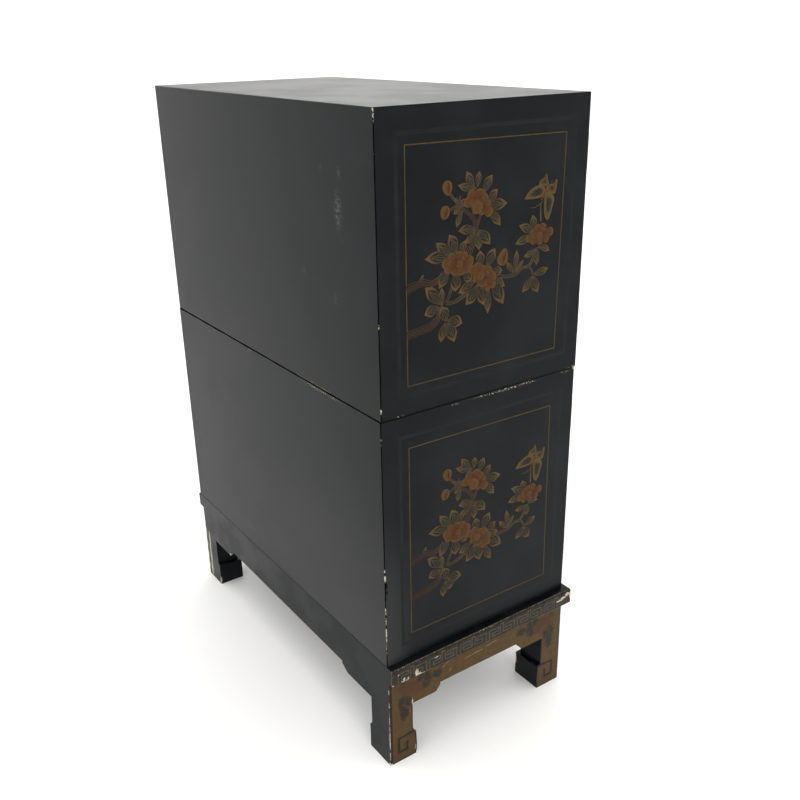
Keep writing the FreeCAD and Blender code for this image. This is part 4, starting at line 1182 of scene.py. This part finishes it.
def lay_frame(panel, corners, band, turn, place, body, sizes, seed):
    """Gilt line round a panel, drawn by hand, with the pale band outside of it."""
    line = rectangle([turn(np.array(c, float)) for c in corners])
    width = sizes.line_width / MM * (LOWER_LINE if panel.startswith("lower") else 1)
    shells = [strip(line, uneven(line, width, seed), 0.12, loop=True)]
    raised(f"{panel}_line", shells, place, body, finish("gilt_line"))
    band = rectangle([turn(np.array(c, float)) for c in band])
    shells = [strip(band, sizes.band_width / MM, 0.05, loop=True)]
    raised(f"{panel}_band", shells, place, body, finish("pale_band"))


class CABINET_OT_side_panels(bpy.types.Operator):
    """Lays the gilt line, the pale band and the bough on the four side panels"""

    bl_idname = "cabinet.side_panels"
    bl_label = "Side panels"

    def execute(self, context):
        sizes = context.scene.cabinet_finish
        for level in LEVELS:
            faces = show_faces(on_panel, BOX[level])
            for side in SIDES:
                place, depth = faces[side]

                def turn(p, mirrored=side == "right", depth=depth):
                    return np.array((depth - p[0], p[1])) if mirrored else p

                panel, body = f"{level}_{side}_side", f"{level}_box"
                lay_frame(panel, FRAMES[level], BAND, turn, place, body, sizes, 3 if level == "upper" else 8)
                lay_bough(panel, level, turn, place, body)
        return {"FINISHED"}


class CABINET_OT_door_panels(bpy.types.Operator):
    """Lays a smaller line, band and bough on the four doors, growing from the hinges"""

    bl_idname = "cabinet.door_panels"
    bl_label = "Door panels"

    def execute(self, context):
        sizes = context.scene.cabinet_finish
        scale = sizes.door_scale
        for level in LEVELS:
            for side in SIDES:
                low, high = DOOR[level, side]
                wide, tall = high[0] - low[0], high[2] - low[2]
                place = on_panel((low[0], low[1], low[2]), (1, 0, 0))
                left = side == "left"

                def turn(p, wide=wide, left=left):
                    return np.array((p[0] if left else wide - p[0], p[1]))

                def grown(p, turn=turn, tall=tall):
                    grown_u = BOUGH_ROOT + (p[0] - BOUGH_ROOT) * scale
                    return turn(np.array((grown_u, tall / 2 + (p[1] - BOUGH_MIDDLE) * scale)))

                line, band = (
                    [(near, end), (far, end), (far, tall - end), (near, tall - end)]
                    for near, far, end in (DOOR_LINE, DOOR_BAND)
                )
                door = f"{level}_{side}_door"
                lay_frame(door, line, band, turn, place, door, sizes, 5)
                lay_bough(door, level, grown, place, door)
        return {"FINISHED"}


# Key pattern: one turn, as shares of the pitch and mm along the edge board's section.
KEY = np.array(
    [
        (0.12, 3.9), (0.12, 21.6), (0.78, 21.6), (0.78, 15.2),
        (0.34, 15.2), (0.34, 8.8), (0.90, 8.8), (0.90, 26.3),
    ]
)
KEY_WIDTH = 1.35  # mm
KEY_START, KEY_ENDS = 7.2, 14.5  # mm left bare at the start, and at both ends together
FRONT_KEYS = 23  # turns along the front


def key_pattern(units, start, pitch):
    """Continuous key pattern: each unit is KEY or, every other time, KEY mirrored and run backwards."""
    turns = []
    for number in range(units):
        unit = KEY.copy() if number % 2 == 0 else (KEY * (-1, 1) + (1, 0))[::-1]
        turns.append(unit * (pitch, 1) + (start + number * pitch, 0))
    return stepped(np.concatenate(turns), 5)


class CABINET_OT_stand_key(bpy.types.Operator):
    """Draws the key pattern round the stand's edge board, over its rounded edges"""

    bl_idname = "cabinet.stand_key"
    bl_label = "Stand key pattern"

    def execute(self, context):
        units = context.scene.cabinet_finish.key_units
        faces = show_faces(on_edge_board, EDGE)
        pitch = (faces["left"][1] - KEY_ENDS) / units
        for face, (place, length) in faces.items():
            count, start = units, KEY_START
            if face == "front":
                count, start = FRONT_KEYS, (length - FRONT_KEYS * pitch) / 2
            path = key_pattern(count, start, pitch)
            if face == "right":
                path[:, 0] = length - path[:, 0]
            key = [strip(path, KEY_WIDTH, 0.12)]
            raised(f"stand_{face}_key", key, place, "stand", finish("key_line"))
        return {"FINISHED"}


# Faded flowers of an apron's end, in mm: middle (from its corner, and up), half width and height, lean.
APRON_LEAVES = [
    ((63, 148), 10, 9, 0), ((72, 132), 10, 11, 20), ((75, 141), 9, 16, 8), ((94, 141), 13, 8.5, -8),
    ((33, 112), 12, 16, 12), ((24, 117), 9, 12, -10), ((28, 95), 10, 18, 4),
]
APRON_PETALS = [((46, 139), 17, 11, -6), ((32, 133), 11, 9, 10), ((27, 146), 11, 7, 0), ((57, 127), 9, 6, 0)]
# Fine scratches, the scroll on a hoof and the line round a foot: points along the apron and up.
SCRATCHES = [
    [(106, 147), (112, 151), (119, 154)], [(119, 133), (124, 137)], [(151, 143), (170, 144.2), (190, 145)],
    [(197, 147), (209, 148.6), (220, 149.4)],
]
SCROLL = [(46, 48.5), (17, 46), (17, 18.5), (33.5, 18.5), (33.5, 35)]
FOOT_EDGE = [(5, 1.6), (28, 1.6), (49.6, 1.6), (50.2, 43), (47.5, 47), (44.2, 50), (44.0, 103)]


class CABINET_OT_stand_painting(bpy.types.Operator):
    """Paints the aprons: faded flowers in the upper corners, a square scroll on each hoof, edge lines"""

    bl_idname = "cabinet.stand_painting"
    bl_label = "Stand painting"

    def execute(self, context):
        for face, (place, length) in show_faces(on_panel, APRON).items():
            spread = 1.12 if face == "front" else 1.0
            layers = {"faded_leaf": [], "faded_bloom": [], "dark_line": [], "gilt_scratch": []}
            for far in (False, True):

                def turn(p, far=far, length=length, spread=spread):
                    p = np.atleast_2d(np.array(p, float)) * (spread, 1)
                    return p * (-1, 1) + (length, 0) if far else p

                w = np.linspace(0, 2 * np.pi, 28, endpoint=False)
                for layer, pads, seed in (("faded_leaf", APRON_LEAVES, 2), ("faded_bloom", APRON_PETALS, 7)):
                    for number, (middle, a, b, lean) in enumerate(pads):
                        c, s = math.cos(math.radians(lean)), math.sin(math.radians(lean))
                        ragged = 1 + 0.09 * np.sin(3 * w + seed + number) + 0.05 * np.sin(7 * w + 2 * number)
                        x, y = a * np.cos(w) * ragged, b * np.sin(w) * ragged
                        pad = turn(np.array(middle) + np.stack((x * c - y * s, x * s + y * c), -1))
                        layers[layer].append(mound(pad, 0.04, 0.02 + 0.012 * number))
                scroll = stepped(turn(SCROLL), 6)
                layers["dark_line"].append(strip(scroll, uneven(scroll, 4.6, 5), 0.08))
                edge = turn(flowing(FOOT_EDGE, 5).clip(1.3))
                layers["dark_line"].append(strip(edge, uneven(edge, 2.2, 6), 0.06))
                wide = 4.4 if (face, far) in (("left", False), ("right", True)) else 1.8
                edge = turn([((wide / 2 + 0.9) / spread, z) for z in np.linspace(3, 162, 30)])
                layers["dark_line"].append(strip(edge, uneven(edge, wide, 4), 0.06))
            for path in SCRATCHES:
                layers["gilt_scratch"].append(strip(flowing(path), 1.0, 0.05))
            for layer, shells in layers.items():
                raised(f"stand_{face}_{layer}", shells, place, "stand", finish(layer))
        return {"FINISHED"}


def area_light(name, spot, aim, size, power):
    """Round soft light the camera doesn't see."""
    light = bpy.data.lights.new(name, "AREA")
    light.shape, light.size, light.energy = "DISK", size, power
    light.color = (1.0, 0.985, 0.955)
    lamp = bpy.data.objects.new(name, light)
    lamp.location = spot
    lamp.rotation_mode = "QUATERNION"
    lamp.rotation_quaternion = (Vector(aim) - Vector(spot)).to_track_quat("-Z", "Y")
    lamp.visible_camera = False
    bpy.context.scene.collection.objects.link(lamp)


def seamless_floor(r, wall, bend=1.4, around=96):
    """Level floor that turns up into a wall all round: a disc of radius r, a quarter round, then upright."""
    angle = np.linspace(0, np.pi / 2, 20)
    radius = np.concatenate(([0.02, r / 3, r / 1.5], r + bend * np.sin(angle), [r + bend]))
    height = np.concatenate(([0, 0, 0], bend * (1 - np.cos(angle)), [wall]))
    turn = np.linspace(0, 2 * np.pi, around, endpoint=False)
    grid = (
        radius[:, None] * np.cos(turn), radius[:, None] * np.sin(turn),
        np.broadcast_to(height[:, None], (len(radius), around))
    )
    points = np.vstack((np.stack(grid, -1).reshape(-1, 3), (0, 0, 0)))
    i, j = np.meshgrid(np.arange(len(radius) - 1), np.arange(around), indexing="ij")
    a, b = i * around + j, (i + 1) * around + j
    c, d = (i + 1) * around + (j + 1) % around, i * around + (j + 1) % around
    s = np.arange(around)
    middle = np.full(around, len(points) - 1)
    quads = np.stack((a, b, c, d), -1).reshape(-1, 4)
    fan = np.stack((middle, s, (s + 1) % around), -1)
    mesh = bpy.data.meshes.new("floor")
    mesh.from_pydata(points, [], quads.tolist() + fan.tolist())
    mesh.shade_smooth()
    return mesh


# Lights: name, which its power's setting shares, place, aim and diameter, in metres.
LIGHTS = (
    ("overhead", (0.2, -0.1, 3.6), (0.2, -0.1, 0), 3.2),
    ("far", (2.5, -1.7, 2.3), (0, 0, 1.0), 2.0),
    ("key", (-2.7, 0.6, 1.5), (0, 0, 0.3), 2.2),
    ("backdrop", (1.7, -1.1, 3.7), (2.9, -2.0, 0.2), 2.4),
)
CAMERA_AT = (-1.3024, 0.8124, 1.1054)
CAMERA_TURN = (235.43, 22.25, -1.07)  # azimuth, elevation and roll, in degrees


class CABINET_OT_stage(bpy.types.Operator):
    """Sets up the pale floor, the soft lights and the camera"""

    bl_idname = "cabinet.stage"
    bl_label = "Stage"

    def execute(self, context):
        scene = context.scene
        stage = scene.cabinet_stage
        mesh = seamless_floor(stage.floor_radius, stage.wall_height)
        material, tree, surface = new_material("floor_pale")
        tone = noise(tree, place_in_mm(tree), 0.002, 3.0)[0]
        colour = blended(tree, eased(tree, tone, 0.3, 0.7), (0.86, 0.86, 0.85, 1), (0.88, 0.88, 0.875, 1))
        speck = eased(tree, noise(tree, place_in_mm(tree), 0.05, 3.0, 0.7)[0], 0.7, 0.8)
        colour = blended(tree, times(tree, speck, 0.25), colour, (0.6, 0.58, 0.53, 1))
        finish_surface(tree, surface, colour, 0.8)
        mesh.materials.append(material)
        floor = bpy.data.objects.new("floor", mesh)
        scene.collection.objects.link(floor)

        world = bpy.data.worlds.new("soft_room")
        scene.world = world
        world.use_nodes = True
        world.node_tree.nodes["Background"].inputs["Color"].default_value = (1.0, 0.995, 0.985, 1)
        world.node_tree.nodes["Background"].inputs["Strength"].default_value = stage.room
        for name, spot, aim, size in LIGHTS:
            area_light(name, spot, aim, size, getattr(stage, name))

        azimuth, elevation, roll = (math.radians(angle) for angle in CAMERA_TURN)
        level = math.cos(elevation)
        back = Vector((math.sin(azimuth) * level, -math.cos(azimuth) * level, math.sin(elevation)))
        camera_data = bpy.data.cameras.new("camera")
        camera_data.sensor_width, camera_data.lens = 36.0, stage.lens
        camera = bpy.data.objects.new("camera", camera_data)
        camera.location = CAMERA_AT
        camera.rotation_mode = "QUATERNION"
        camera.rotation_quaternion = (-back).to_track_quat("-Z", "Y") @ Quaternion((0, 0, 1), roll)
        scene.collection.objects.link(camera)
        scene.camera = camera
        scene.view_settings.view_transform = "Standard"
        return {"FINISHED"}


OPERATORS = (
    CABINET_OT_stage,
    CABINET_OT_black_lacquer,
    CABINET_OT_joint_shade_and_grime,
    CABINET_OT_stand_lacquer,
    CABINET_OT_inside_and_brass,
    CABINET_OT_side_panels,
    CABINET_OT_door_panels,
    CABINET_OT_stand_key,
    CABINET_OT_stand_painting,
)


class CABINET_PT_panel(bpy.types.Panel):
    """Lists the settings and the operators that lay the pieces"""

    bl_idname = "CABINET_PT_panel"
    bl_label = "Lacquer cabinet"
    bl_space_type = "VIEW_3D"
    bl_region_type = "UI"
    bl_category = "Cabinet"

    def draw(self, context):
        for settings in (context.scene.cabinet_finish, context.scene.cabinet_stage):
            for name in type(settings).__annotations__:
                self.layout.prop(settings, name)
        for operator in OPERATORS:
            self.layout.operator(operator.bl_idname)


CLASSES = (CabinetFinish, CabinetStage, *OPERATORS, CABINET_PT_panel)


def register():
    for cls in CLASSES:
        bpy.utils.register_class(cls)
    bpy.types.Scene.cabinet_finish = PointerProperty(type=CabinetFinish)
    bpy.types.Scene.cabinet_stage = PointerProperty(type=CabinetStage)


def unregister():
    del bpy.types.Scene.cabinet_stage
    del bpy.types.Scene.cabinet_finish
    for cls in reversed(CLASSES):
        bpy.utils.unregister_class(cls)


def main():
    register()
    for operator in OPERATORS:
        getattr(bpy.ops.cabinet, operator.bl_idname.split(".")[1])()


if __name__ == "__main__":
    main()
